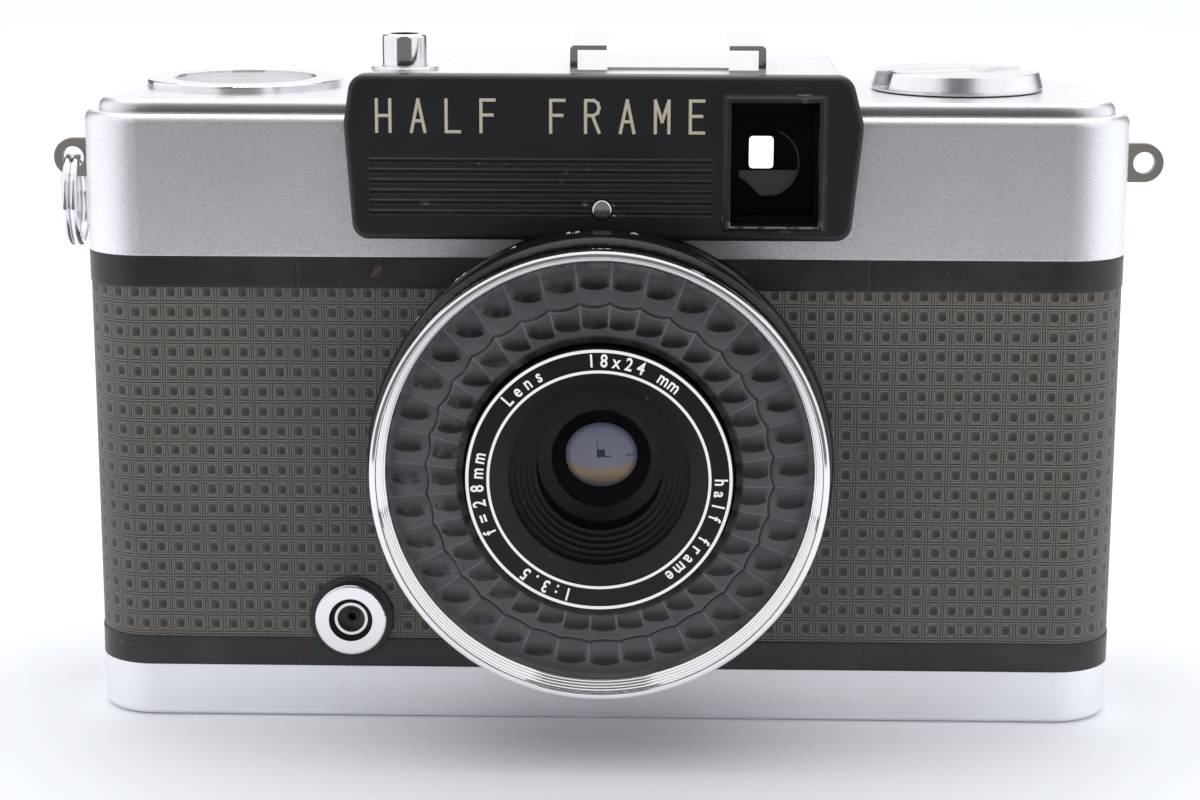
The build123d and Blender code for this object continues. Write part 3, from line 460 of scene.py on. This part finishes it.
def moulded(name, color, roughness):
    """Moulded plastic or enamel with a faint orange-peel skin."""
    finish = Finish(name, color, roughness)
    peel = finish.noise(1800.0, 2.0)
    finish.paint(peel.step(0.55, 0.8) * 0.3, tuple(min(1.0, c * 1.5 + 0.004) for c in color))
    finish.rough(peel, roughness + 0.1)
    finish.bump(peel, 0.000006)
    return finish.material


def selenium():
    """The cell's dull, slightly brown face."""
    finish = Finish("selenium", (0.03, 0.026, 0.023), 0.5)
    cloud = finish.noise(300.0, 4.0)
    finish.paint(cloud, (0.05, 0.042, 0.035))
    finish.bump(cloud, 0.00001)
    return finish.material


def inner_reflection():
    """Coated glass deep in the lens, with a painted reflection: lilac above, amber below, dark at its edge. It lights
    itself, though it is no lamp.
    """
    finish = Finish("painted_inner_reflection", (0.115, 0.12, 0.165), 0.3, 0.0, Specular_IOR_Level=0.3)
    x, z = finish.axis("X"), finish.axis("Z") - LENS_Z * MM
    bowed = z - (x * x) * 70.0
    # Painted reflection: lilac above, amber below, darker at the foot and edge.
    finish.paint(bowed.step(-0.0009, -0.0018), (0.17, 0.12, 0.07))
    finish.paint(z.step(-0.0016, -0.0032) * 0.75, (0.04, 0.03, 0.02))
    finish.paint(z.step(0.0012, 0.0034) * 0.4, (0.06, 0.065, 0.1))
    reach = ((x * (1000.0 / 3.68)).power(2.0) + (z * (1000.0 / 3.36)).power(2.0)).power(0.5)
    finish.paint(reach.step(0.8, 1.0) * 0.8, (0.012, 0.014, 0.035))
    cloud = finish.noise(300.0, 3.0)
    finish.paint(cloud * 0.15, (0.06, 0.06, 0.1))
    lit = finish.shader.inputs["Base Color"].links[0].from_socket
    finish.tree.links.new(lit, finish.shader.inputs["Emission Color"])
    finish.shader.inputs["Emission Strength"].default_value = 0.6
    return finish.material


def daylight():
    """The bright patch seen small through the finder. It lights itself."""
    finish = Finish("finder_daylight", (1.0, 1.0, 1.0), 0.4)
    cloud = finish.noise(500.0, 2.0)
    finish.paint(cloud * 0.1, (0.9, 0.92, 0.95))
    finish.shader.inputs["Emission Color"].default_value = (1.0, 1.0, 1.0, 1.0)
    finish.shader.inputs["Emission Strength"].default_value = 1.4
    return finish.material


LOOKS = {
    "satin_chrome": satin_chrome(),
    "bright_chrome": bright_chrome(),
    "black_paint": fascia_paint(),
    "black_alloy": black_band(),
    "leatherette": leatherette(),
    "clear_glass": glass("clear_glass"),
    "crystal": crystal(),
    "knob_chrome": satin_chrome("knob_chrome", 0.17, 0.1),
    "contacts": contacts(),
    "bubble_glass": lenslet_glass(),
    "selenium": selenium(),
    "plated_steel": plain_metal("plated_steel", (0.5, 0.5, 0.49), 0.3),
    "blued_steel": plain_metal("blued_steel", (0.06, 0.06, 0.07), 0.35),
    "black_plastic": moulded("black_plastic", (0.012, 0.012, 0.013), 0.28),
    "white_paint": moulded("white_paint", (0.78, 0.77, 0.73), 0.4),
    "nickel": plain_metal("nickel", (0.58, 0.57, 0.53), 0.25),
    "worn_nickel": plain_metal("worn_nickel", (0.36, 0.335, 0.31), 0.36, 900.0),
    "tunnel_black": tunnel_black(),
    "lens_black": lens_black(),
    "ring_black": ring_black(),
    "dim_edge": moulded("dim_edge", (0.05, 0.052, 0.06), 0.4),
    # The dim patch in the finder is a painted reflection.
    "dim_reflection": moulded("dim_reflection", (0.045, 0.046, 0.052), 0.5),
    "deep_blue": moulded("deep_blue", (0.012, 0.016, 0.075), 0.4),
    "engraving": moulded("engraving", (0.85, 0.85, 0.83), 0.45),
    "gilt": moulded("gilt_filling", (0.46, 0.41, 0.3), 0.4),
    "umber": moulded("umber_plastic", (0.035, 0.028, 0.022), 0.4),
    "ink": moulded("black_ink", (0.02, 0.02, 0.02), 0.5),
    "painted_inner_reflection": inner_reflection(),
    "daylight": daylight(),
}

slot_of = {row["node"]: row["material_slot"] for row in frame["record"]["subparts"]}

# Nodes that wear another look than their slot's.
SPECIAL = {
    "name_ring": "lens_black",
    "lens_barrel": "lens_black",
    "aperture_ring": "ring_black",
    "lens_flange": "lens_black",
    "shutter_housing": "lens_black",
    "viewfinder_tunnel": "tunnel_black",
    "counter_window": "crystal",
    "rewind_knob": "knob_chrome",
    "sync_socket_contacts": "contacts",
    "low_light_flag": "tunnel_black",
    "strap_lug_left": "worn_nickel",
    "strap_lug_right": "worn_nickel",
}


def dress(item, look):
    item.data.materials.clear()
    item.data.materials.append(LOOKS[look])


for name, node in nodes.items():
    dress(node, SPECIAL.get(name, slot_of[name]))


# ------------------------------------------------------------------ mesh building, in millimetres
def piece(name, verts, faces, body, look, slot=None, stands_for=(), sharp=35.0):
    """Makes a mesh piece from millimetre points and fixes it to a CAD body."""
    mesh = bpy.data.meshes.new(name)
    mesh.from_pydata([Vector(v) * MM for v in verts], [], faces)
    mesh.polygons.foreach_set("use_smooth", [True] * len(mesh.polygons))
    mesh.set_sharp_from_angle(angle=math.radians(sharp))
    mesh.update()
    return settle(bpy.data.objects.new(name, mesh), body, look, stands_for)


def settle(item, body, look, stands_for=()):
    """Gives a piece its look and its body, and hides the CAD nodes it stands for."""
    if not item.users_collection:
        bpy.context.scene.collection.objects.link(item)
    dress(item, look)
    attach(item, body)
    if stands_for:
        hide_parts(*stands_for)
    return item


def lens_point(radius, angle, y):
    """A point about the lens axis; the angle runs from the right, anticlockwise seen from the front."""
    return (radius * math.cos(angle), y, LENS_Z + radius * math.sin(angle))


def lens_lathe(name, profile, body, look, steps=360, shape=None, **more):
    """A turned piece about the lens axis from closed (radius, y) points; shape may change a point by its angle."""
    verts, faces = [], []
    count = len(profile)
    for step in range(steps):
        angle = math.tau * step / steps
        for index, (radius, y) in enumerate(profile):
            if shape:
                radius, y = shape(index, angle, radius, y)
            verts.append(lens_point(radius, angle, y))
    for step in range(steps):
        here, there = step * count, (step + 1) % steps * count
        for index in range(count):
            after = (index + 1) % count
            faces.append((here + index, here + after, there + after, there + index))
    return piece(name, verts, faces, body, look, **more)


def baked(curve, matrix):
    """Turns a curve into a mesh and sets it in place by a matrix."""
    made = bpy.data.objects.new(curve.name + "_curve", curve)
    bpy.context.scene.collection.objects.link(made)
    bpy.context.view_layer.update()
    mesh = bpy.data.meshes.new_from_object(made.evaluated_get(bpy.context.evaluated_depsgraph_get()))
    bpy.data.objects.remove(made)
    mesh.name = curve.name
    mesh.transform(matrix)
    mesh.materials.clear()
    return mesh


def lettering(name, text, height, matrix, body, look, squeeze=1.0, weight=0.0, depth=0.02):
    """Flat filled letters, set by a matrix that takes the text's own plane to the row frame."""
    curve = bpy.data.curves.new(name, "FONT")
    curve.body = text
    curve.align_x = "CENTER"
    curve.align_y = "CENTER"
    curve.size = height * LETTER_SCALE * MM
    curve.offset = weight * MM
    curve.extrude = depth * MM
    curve.resolution_u = 3
    mesh = baked(curve, matrix @ Matrix.Diagonal((squeeze, 1.0, 1.0, 1.0)))
    return settle(bpy.data.objects.new(name, mesh), body, look)


def ring_number(name, text, height, radius, angle, y, body):
    """A small number on a ring about the lens axis, set square to the axis with its top outwards."""
    upright = Matrix.Rotation(angle - math.pi / 2, 4, Vector((0, -1, 0)))
    matrix = Matrix.Translation(Vector(lens_point(radius, angle, y)) * MM) @ upright
    lettering(name, text, height, matrix, body, "engraving", depth=0.01)


def facing_front(x, y, z, turn=0.0):
    """Puts text on a plane that faces the front, turned anticlockwise about its middle."""
    base = Matrix.Translation(Vector((x, y, z)) * MM)
    return base @ Matrix.Rotation(math.radians(90), 4, "X") @ Matrix.Rotation(turn, 4, "Z")


def facing_up(x, y, z, turn=0.0):
    """Puts text on a plane that faces up, turned anticlockwise about its middle."""
    return Matrix.Translation(Vector((x, y, z)) * MM) @ Matrix.Rotation(turn, 4, "Z")


# ------------------------------------------------------------------ leatherette
def along_body(x, y):
    """The distance round the body's outline from the middle of its front, in millimetres."""
    ax = abs(x)
    corner = SKIN_R * math.pi / 2
    if y < -STRAIGHT_Y and ax <= STRAIGHT_X:
        run = ax
    elif y < -STRAIGHT_Y:
        run = STRAIGHT_X + SKIN_R * math.atan2(ax - STRAIGHT_X, -STRAIGHT_Y - y)
    elif y <= STRAIGHT_Y and ax > STRAIGHT_X:
        run = STRAIGHT_X + corner + (y + STRAIGHT_Y)
    elif ax > STRAIGHT_X:
        run = STRAIGHT_X + corner + 2 * STRAIGHT_Y + SKIN_R * math.atan2(y - STRAIGHT_Y, ax - STRAIGHT_X)
    else:
        run = STRAIGHT_X + 2 * corner + 2 * STRAIGHT_Y + (STRAIGHT_X - ax)
    return math.copysign(run, x)


def cover(node, body, pitch, shift):
    """A covering piece, with the embossing laid out by its distance round the body."""
    mesh = nodes[node].data.copy()
    mesh.name = node + "_skin"
    layer = mesh.uv_layers.new(name="along_body")
    for loop in mesh.loops:
        spot = mesh.vertices[loop.vertex_index].co / MM
        across = along_body(spot.x, spot.y) / pitch + shift
        layer.data[loop.index].uv = (across, (SKIN_HIGH - spot.z) / CELL_H + 0.22)
    settle(bpy.data.objects.new(node + "_skin", mesh), body, "leatherette", (node,))


cover("front_covering_left", "camera", 1.851, 0.576)
cover("front_covering_right", "camera", 1.91, 0.3)
cover("door_covering", "door", 1.88, 0.0)


# ------------------------------------------------------------------ lens front
def lenslet_surface():
    """The ring of lenslets: two rows of shallow domes that meet in valleys, scalloped outside."""
    steps, rings = LENSLETS * 16, 60
    inner, outer, groove = 13.4, 21.1, 17.0
    back_y = FRONT - 14.0
    pitch = math.tau / LENSLETS
    verts, faces = [], []
    radii = [inner + (outer - inner) * i / (rings - 1) for i in range(rings)]
    for step in range(steps):
        angle = math.tau * step / steps
        u = ((angle + LENSLET_TURN) / pitch) % 1.0 - 0.5
        for radius in radii:
            low, high = (inner, groove) if radius < groove else (groove, outer)
            along = radius - (low + high) / 2
            around = u * pitch * radius
            crown = 0.4 - (around**2 + along**2) / 14.0
            cone = 1.35 * (radius - outer) / (outer - inner)
            verts.append(lens_point(radius, angle, FRONT - 14.4 + cone - max(crown, 0.0)))
    back = len(verts)
    for step in range(steps):
        angle = math.tau * step / steps
        verts.append(lens_point(inner, angle, back_y))
        verts.append(lens_point(outer - 0.5, angle, back_y))
    for step in range(steps):
        after = (step + 1) % steps
        for ring in range(rings - 1):
            a, b = step * rings + ring, after * rings + ring
            faces.append((a, a + 1, b + 1, b))
        faces.append((back + 2 * step, step * rings, after * rings, back + 2 * after))
        faces.append((step * rings + rings - 1, back + 2 * step + 1, back + 2 * after + 1, after * rings + rings - 1))
        faces.append((back + 2 * step + 1, back + 2 * step, back + 2 * after, back + 2 * after + 1))
    return piece("lenslet_ring", verts, faces, "camera", "bubble_glass", "bubble_glass", ("bubble_glass",), 14.0)


lenslet_surface()


def rounded(corners, radius, steps=4):
    """A closed profile with its outer corners rounded."""
    out = []
    count = len(corners)
    for index, corner in enumerate(corners):
        here = Vector(corner)
        before = Vector(corners[index - 1]) - here
        after = Vector(corners[(index + 1) % count]) - here
        cut = min(radius, before.length * 0.45, after.length * 0.45)
        start = here + before.normalized() * cut
        end = here + after.normalized() * cut
        for step in range(steps + 1):
            t = step / steps
            out.append(tuple(start * (1 - t) ** 2 + here * 2 * t * (1 - t) + end * t * t))
    return out


def bezel():
    """The chrome bezel: bright rim, stepped filter thread inside, black skirt outside."""
    outer = 22.6
    rim = [(22.0, BEZEL_FRONT), (22.3, BEZEL_FRONT + 0.03), (22.5, BEZEL_FRONT + 0.18), (outer, BEZEL_FRONT + 0.45)]
    side = [(outer, FRONT - 15.6), (22.35, FRONT - 15.3), (22.3, FRONT - 15.1)]
    thread = [(21.92, BEZEL_FRONT + 0.06)]
    for index in range(5):
        crest, start = 21.7 - 0.13 * index, BEZEL_FRONT + 0.22 + 0.52 * index
        thread += [(crest + 0.16, start), (crest, start + 0.1), (crest, start + 0.2), (crest + 0.14, start + 0.4)]
    back = [(21.16, FRONT - 14.35), (21.3, FRONT - 14.0), (22.2, FRONT - 14.0), (22.2, FRONT - 15.0)]
    lens_lathe("bezel_ring", [*rim, *side, *reversed(back), *reversed(thread)], "film_speed_ring", "bright_chrome",
               slot="bright_chrome", stands_for=("film_speed_ring",), sharp=24.0)
    skirt = rounded([(22.3, FRONT - 15.05), (22.3, FRONT - 12.9), (20.46, FRONT - 12.9), (20.46, FRONT - 13.85),
                     (21.9, FRONT - 13.85), (21.9, FRONT - 15.05)], 0.1)
    lens_lathe("bezel_skirt", skirt, "film_speed_ring", "ring_black", slot="black_alloy", sharp=28.0)
    # Painted shade: a flat black ring in the gap between the lenslets and the bezel.
    floor = [(20.2, FRONT - 13.95), (20.2, FRONT - 14.05), (21.35, FRONT - 14.05), (21.35, FRONT - 13.95)]
    lens_lathe("lenslet_gap", floor, "camera", "tunnel_black", slot="black_alloy")
    for number, angle in zip(("25", "50", "100", "200", "400"), (-60, -30, 0, 30, 60)):
        around = math.radians(90 + angle)
        ring_number(f"film_speed_{number}", number, 1.0, 22.32, around, FRONT - 14.2, "film_speed_ring")


bezel()


def aperture_ring():
    """The aperture ring: numbers behind, a fine grip at its sides, and a bevel in front."""
    profile = [(20.46, FRONT - 7.5), (22.9, FRONT - 7.5), (23.2, FRONT - 7.65)]
    profile += [(23.25, FRONT - 8.0), (23.25, FRONT - 9.6)]
    grip = len(profile)
    profile += [(23.3, FRONT - 9.8), (23.3, FRONT - 10.6), (23.25, FRONT - 11.4), (23.15, FRONT - 11.9)]
    top = len(profile)
    profile += [(22.95, FRONT - 12.3), (22.6, FRONT - 12.6), (20.46, FRONT - 12.6)]

    def flute(index, angle, radius, y):
        if grip <= index < top:
            reach = max(0.0, -math.sin(angle) - 0.25)
            radius -= 0.2 * min(1.0, reach * 4) * (0.5 + 0.5 * math.cos(angle * 180)) ** 2
        return radius, y

    lens_lathe("aperture_grip", profile, "aperture_ring", "ring_black", 1440, flute, slot="black_alloy",
               stands_for=("aperture_ring",), sharp=40.0)
    stops = ("A", "3.5", "4", "5.6", "8", "11", "16", "22")
    for index, stop in enumerate(stops):
        around = math.radians(90 + 15 * index - 8)
        ring_number(f"aperture_stop_{index}", stop, 0.9, 23.27, around, FRONT - 8.6, "aperture_ring")


aperture_ring()


def flat_ring(name, inner, outer, y, look):
    """A thin painted circle on the name ring."""
    profile = [(inner, y), (inner, y - 0.02), (outer, y - 0.02), (outer, y)]
    lens_lathe(name, profile, "camera", look, 240)


def name_ring():
    """The name ring's two painted circles and its generic lettering, which runs clockwise."""
    flat_ring("name_ring_outer_line", 12.74, 13.04, NAME_FACE, "engraving")
    flat_ring("name_ring_inner_line", 10.7, 10.98, NAME_FACE, "engraving")
    words = (
        ("Lens", 129.0, 6.2),
        ("18x24 mm", 73.0, 5.9),
        ("half frame", -27.0, 5.9),
        ("1:3.5", -116.0, 5.6),
        ("f=28mm", 188.0, 7.4),
    )
    for number, (word, middle, pitch) in enumerate(words):
        for index, letter in enumerate(word):
            if letter == " ":
                continue
            angle = math.radians(middle - pitch * (index - (len(word) - 1) / 2))
            matrix = facing_front(*lens_point(11.87, angle, NAME_FACE), angle - math.pi / 2)
            lettering(f"name_ring_{number}_{index}", letter, 1.3, matrix, "camera", "engraving", 0.82, 0.035)
    # Each spanner hole is a flat black disc: painted shade in place of the hole's depth.
    for number, angle in enumerate((59.5, 239.5)):
        x, y, z = lens_point(9.55, math.radians(angle), FRONT - 16.15)
        radius, steps = 0.42, 24
        verts = [(x, y - 0.1, z)]
        for step in range(steps):
            around = step * math.tau / steps
            verts.append((x + radius * math.cos(around), y - 0.1, z + radius * math.sin(around)))
        faces = [(0, 1 + step, 1 + (step + 1) % steps) for step in range(steps)]
        piece(f"spanner_hole_{number}", verts, faces, "camera", "ink")


name_ring()


def lens_disc(name, rings, look, slot, middle=None):
    """A dished disc about the lens axis from (radius across, radius up, y) rings, open or closed in the middle."""
    steps = 72
    verts, faces = [], []
    for wide, tall, y in rings:
        for step in range(steps):
            angle = math.tau * step / steps
            verts.append((wide * math.cos(angle), y, LENS_Z + tall * math.sin(angle)))
    for ring in range(len(rings) - 1):
        for step in range(steps):
            after = (step + 1) % steps
            a, b = ring * steps, (ring + 1) * steps
            faces.append((a + step, b + step, b + after, a + after))
    if middle is not None:
        verts.append((0, middle, LENS_Z))
        faces += [(len(verts) - 1, step, (step + 1) % steps) for step in range(steps)]
    return piece(name, verts, faces, "camera", look, slot)


def inner_lens():
    """The coated inner element, the black stop round it, and the shutter's small opening beyond."""
    dome = [(3.68 * t, 3.36 * t, FRONT - 6.6 + 0.3 * t * t) for t in (0.1, 0.2, 0.35, 0.5, 0.65, 0.8, 0.9, 1.0)]
    lens_disc("inner_element", dome, "painted_inner_reflection", "clear_glass", FRONT - 6.6)
    stop = [(3.6, 3.28, FRONT - 6.28), (4.8, 4.8, FRONT - 6.9), (6.2, 6.2, FRONT - 8.4), (7.3, 7.3, FRONT - 9.2)]
    lens_disc("inner_stop", stop, "tunnel_black", "black_alloy")
    x, y, z, half = -0.05, FRONT - 6.63, LENS_Z + 0.2, 0.42
    square = [(x - half, y, z - half), (x + half, y, z - half), (x + half, y, z + half), (x - half, y, z + half)]
    piece("aperture_opening", square, [(0, 1, 2, 3)], "camera", "deep_blue")
    edges = (((x + half, z - half + 0.08), (3.5, z - 0.15), 0.06), ((x - 0.3, z + half), (x - 0.65, z + 2.7), 0.035))
    for number, ((x0, z0), (x1, z1), wide) in enumerate(edges):
        run = Vector((x1 - x0, 0, z1 - z0))
        off = Vector((-run.z, 0, run.x)).normalized() * wide
        lift = Vector((0, 0.25, 0))
        start, end = Vector((x0, y, z0)), Vector((x1, y, z1)) + lift
        strip = [start - off, end - off, end + off, start + off]
        piece(f"blade_edge_{number}", strip, [(0, 1, 2, 3)], "camera", "deep_blue")


inner_lens()


# ------------------------------------------------------------------ fascia
STROKES = {
    "H": (((0, 0), (0, 1)), ((1, 0), (1, 1)), ((0, 0.5), (1, 0.5))),
    "A": (((0, 0), (0.5, 1), (1, 0)), ((0.2, 0.34), (0.8, 0.34))),
    "L": (((0, 1), (0, 0), (1, 0)),),
    "F": (((0, 0), (0, 1), (1, 1)), ((0, 0.53), (0.85, 0.53))),
    "R": (
        ((0, 0), (0, 1), (0.6, 1), (0.9, 0.92), (1, 0.77), (0.9, 0.61), (0.6, 0.53), (0, 0.53)),
        ((0.5, 0.53), (1, 0)),
    ),
    "M": (((0, 0), (0, 1), (0.5, 0.35), (1, 1), (1, 0)),),
    "E": (((1, 1), (0, 1), (0, 0), (1, 0)), ((0, 0.52), (0.85, 0.52))),
}


def fascia_letter(number, letter, x, z, wide, tall):
    """A condensed capital drawn with a round stroke and set almost flush in the fascia."""
    curve = bpy.data.curves.new(f"fascia_letter_{number}", "CURVE")
    curve.dimensions = "3D"
    curve.bevel_depth = 0.17 * MM
    curve.bevel_resolution = 2
    curve.use_fill_caps = True
    for path in STROKES[letter]:
        spots = [Vector(((across - 0.5) * wide * MM, 0, (up - 0.5) * tall * MM)) for across, up in path]
        for start, end in zip(spots, spots[1:]):
            reach = (end - start).normalized() * 0.14 * MM
            spline = curve.splines.new("POLY")
            spline.points.add(1)
            spline.points[0].co = (*(start - reach), 1)
            spline.points[1].co = (*(end + reach), 1)
    mesh = baked(curve, Matrix.Translation(Vector((x, FRONT - 2.5, z)) * MM) @ Matrix.Diagonal((1.0, 0.35, 1.0, 1.0)))
    settle(bpy.data.objects.new(curve.name, mesh), "camera", "gilt")


for number, letter in enumerate("HALF FRAME"):
    if letter != " ":
        fascia_letter(number, letter, -22.1 + 3.5 * number, 64.4, 1.35, 3.2)


def finder_spot():
    """A black mask behind the finder's front lens, a bright patch in it, and a dim arc and a dim patch of painted
    reflection on the lens.
    """
    x, y, z = 16.12, -10.95, 60.05
    mask = [(12.35, y + 0.05, 53.05), (22.15, y + 0.05, 53.05), (22.15, y + 0.05, 65.95), (12.35, y + 0.05, 65.95)]
    piece("finder_mask", mask, [(0, 1, 2, 3)], "camera", "tunnel_black", "black_paint")
    verts, faces, steps = [], [], 40
    for step in range(steps + 1):
        angle = math.radians(-75 + 140 * step / steps)
        for radius in (3.45, 3.58):
            verts.append((OBJECTIVE[0] + radius * math.cos(angle), -13.43, OBJECTIVE[1] + radius * math.sin(angle)))
        if step:
            faces.append((2 * step - 2, 2 * step, 2 * step + 1, 2 * step - 1))
    piece("objective_edge", verts, faces, "camera", "dim_edge")
    # Painted reflection: a dim patch on the finder's front lens.
    angles = [math.radians(a) for a in range(-13, -100, -6)]
    haze = [(OBJECTIVE[0] + 3.4 * math.cos(a), -13.42, OBJECTIVE[1] + 3.4 * math.sin(a)) for a in angles]
    haze += [(14.6, -13.42, 57.3), (13.8, -13.42, 57.8), (13.8, -13.42, 58.5)]
    piece("objective_reflection", haze, [tuple(range(len(haze)))], "camera", "dim_reflection")
    half_w, half_h, corner = 1.25, 1.66, 0.4
    verts = [(x, y, z)]
    for quarter, (sx, sz) in enumerate(((1, 1), (-1, 1), (-1, -1), (1, -1))):
        for step in range(6):
            angle = math.radians(90 * quarter + 18 * step)
            across = x + sx * (half_w - corner) + corner * math.cos(angle)
            verts.append((across, y, z + sz * (half_h - corner) + corner * math.sin(angle)))
    count = len(verts) - 1
    faces = [(0, 1 + (index + 1) % count, 1 + index) for index in range(count)]
    piece("finder_daylight", verts, faces, "camera", "daylight")


finder_spot()


# ------------------------------------------------------------------ small details
def sync_floor(name, inner, outer, y, look):
    """A ring of insulation in the sync socket."""
    verts, faces = [], []
    steps = 48
    for step in range(steps):
        angle = math.tau * step / steps
        verts += [(SYNC[0] + r * math.cos(angle), y, SYNC[1] + r * math.sin(angle)) for r in (inner, outer)]
    for step in range(steps):
        here, there = step * 2, (step + 1) % steps * 2
        faces.append((here, there, there + 1, here + 1))
    piece(name, verts, faces, "camera", look)


def sync_insulator():
    sync_floor("sync_insulator_outer", 1.74, 2.31, FRONT + 0.7, "ink")
    sync_floor("sync_insulator_inner", 0.74, 1.46, FRONT + 0.45, "umber")


sync_insulator()


def dial_marks():
    """Numbers and ticks on the frame counter."""
    top = 64.92
    for index in range(72):
        angle = math.tau * index / 72
        long = 1.3 if index % 10 == 0 else 0.7
        inner, outer, half = 6.9 - long, 6.9, 0.06
        c, s = math.cos(angle), math.sin(angle)
        verts = [(COUNTER[0] + r * c - w * s, COUNTER[1] + r * s + w * c, top) for r, w in
                 ((inner, -half), (outer, -half), (outer, half), (inner, half))]
        piece(f"counter_tick_{index}", verts, [(0, 1, 2, 3)], "counter", "ink")
    for index in range(8):
        angle = math.tau * index * 10 / 72
        x, y = COUNTER[0] + 4.3 * math.cos(angle), COUNTER[1] + 4.3 * math.sin(angle)
        lettering(f"counter_number_{index}", str(index * 10), 1.4, facing_up(x, y, top, angle - math.pi / 2), "counter",
                  "ink", 0.9)


dial_marks()


# ------------------------------------------------------------------ stage, light and camera
def stage():
    """The pale floor, and three dark cards that only reflections see, so that the chrome isn't white."""
    finish = Finish("floor", (0.925, 0.94, 0.97), 0.75)
    finish.paint(finish.noise(3.0, 3.0) * 0.15, (0.91, 0.915, 0.935))
    size = 5.0
    mesh = bpy.data.meshes.new("floor")
    corners = ((-size, -size), (size, -size), (size, size), (-size, size))
    mesh.from_pydata([(x, y, -FLOOR_DROP * MM) for x, y in corners], [], [(0, 1, 2, 3)])
    mesh.materials.append(finish.material)
    floor = bpy.data.objects.new("floor", mesh)
    bpy.context.scene.collection.objects.link(floor)

    card_finish = Finish("dark_card", (0.12, 0.12, 0.125), 0.8)
    card_finish.paint(card_finish.noise(5.0), (0.13, 0.13, 0.135))
    rows = ((-0.16, 0.002), (-0.34, 0.03), (-0.52, 0.11), (-0.64, 0.3), (-0.7, 0.62), (-0.6, 0.9))
    front = [(x, y, z) for y, z in rows for x in (-0.27, 0.27)]
    sides = [[(side * x, y, z) for x, y in ((0.44, 0.32), (0.34, 0.7)) for z in (0.0, 0.6)] for side in (-1, 1)]
    for name, verts in (("dark_card", front), ("side_card_left", sides[0]), ("side_card_right", sides[1])):
        mesh = bpy.data.meshes.new(name)
        mesh.from_pydata(verts, [], [(i, i + 1, i + 3, i + 2) for i in range(0, len(verts) - 2, 2)])
        mesh.materials.append(card_finish.material)
        card = bpy.data.objects.new(name, mesh)
        bpy.context.scene.collection.objects.link(card)
        card.visible_camera = False
        card.visible_diffuse = False
        card.visible_shadow = False


def lights():
    """A nearly even world, one soft panel overhead and a faint one at each side."""
    world = bpy.data.worlds.new("studio")
    bpy.context.scene.world = world
    world.use_nodes = True
    world.node_tree.nodes["Background"].inputs["Color"].default_value = (0.975, 0.985, 1.0, 1.0)
    world.node_tree.nodes["Background"].inputs["Strength"].default_value = 1.02
    panels = (
        ("top_panel", (0.0, 0.25, 0.75), (0.9, 0.9), 2.2),
        ("left_panel", (-0.7, 0.05, 0.3), (0.5, 0.6), 0.1),
        ("right_panel", (0.7, 0.05, 0.3), (0.5, 0.6), 0.1),
    )
    for name, spot, size, power in panels:
        light = bpy.data.lights.new(name, "AREA")
        light.shape = "RECTANGLE"
        light.size, light.size_y = size
        light.energy = power
        lamp = bpy.data.objects.new(name, light)
        bpy.context.scene.collection.objects.link(lamp)
        lamp.location = spot
        lamp.rotation_mode = "QUATERNION"
        lamp.rotation_quaternion = (Vector((0, 0, 0.03)) - Vector(spot)).to_track_quat("-Z", "Y")


def camera():
    """The camera in front of and above the object; its angles are in radians."""
    yaw, pitch, roll = -0.0234, 0.2150, 0.0026
    forward = Vector((math.sin(yaw) * math.cos(pitch), math.cos(yaw) * math.cos(pitch), -math.sin(pitch)))
    flat_right = Vector((math.cos(yaw), -math.sin(yaw), 0))
    flat_up = flat_right.cross(forward)
    right = flat_right * math.cos(roll) + flat_up * math.sin(roll)
    up = flat_up * math.cos(roll) - flat_right * math.sin(roll)
    data = bpy.data.cameras.new("camera")
    data.sensor_width = 36.0
    data.lens = 80.17
    data.clip_start = 0.01
    data.clip_end = 20.0
    eye = bpy.data.objects.new("camera", data)
    bpy.context.scene.collection.objects.link(eye)
    turn = Matrix((right, up, -forward)).transposed().to_4x4()
    eye_spot = Vector((6.01, -285.63, 93.79))
    eye.matrix_world = Matrix.Translation(eye_spot * MM) @ turn
    bpy.context.scene.camera = eye


stage()
lights()
camera()
bpy.context.scene.view_settings.view_transform = "Standard"
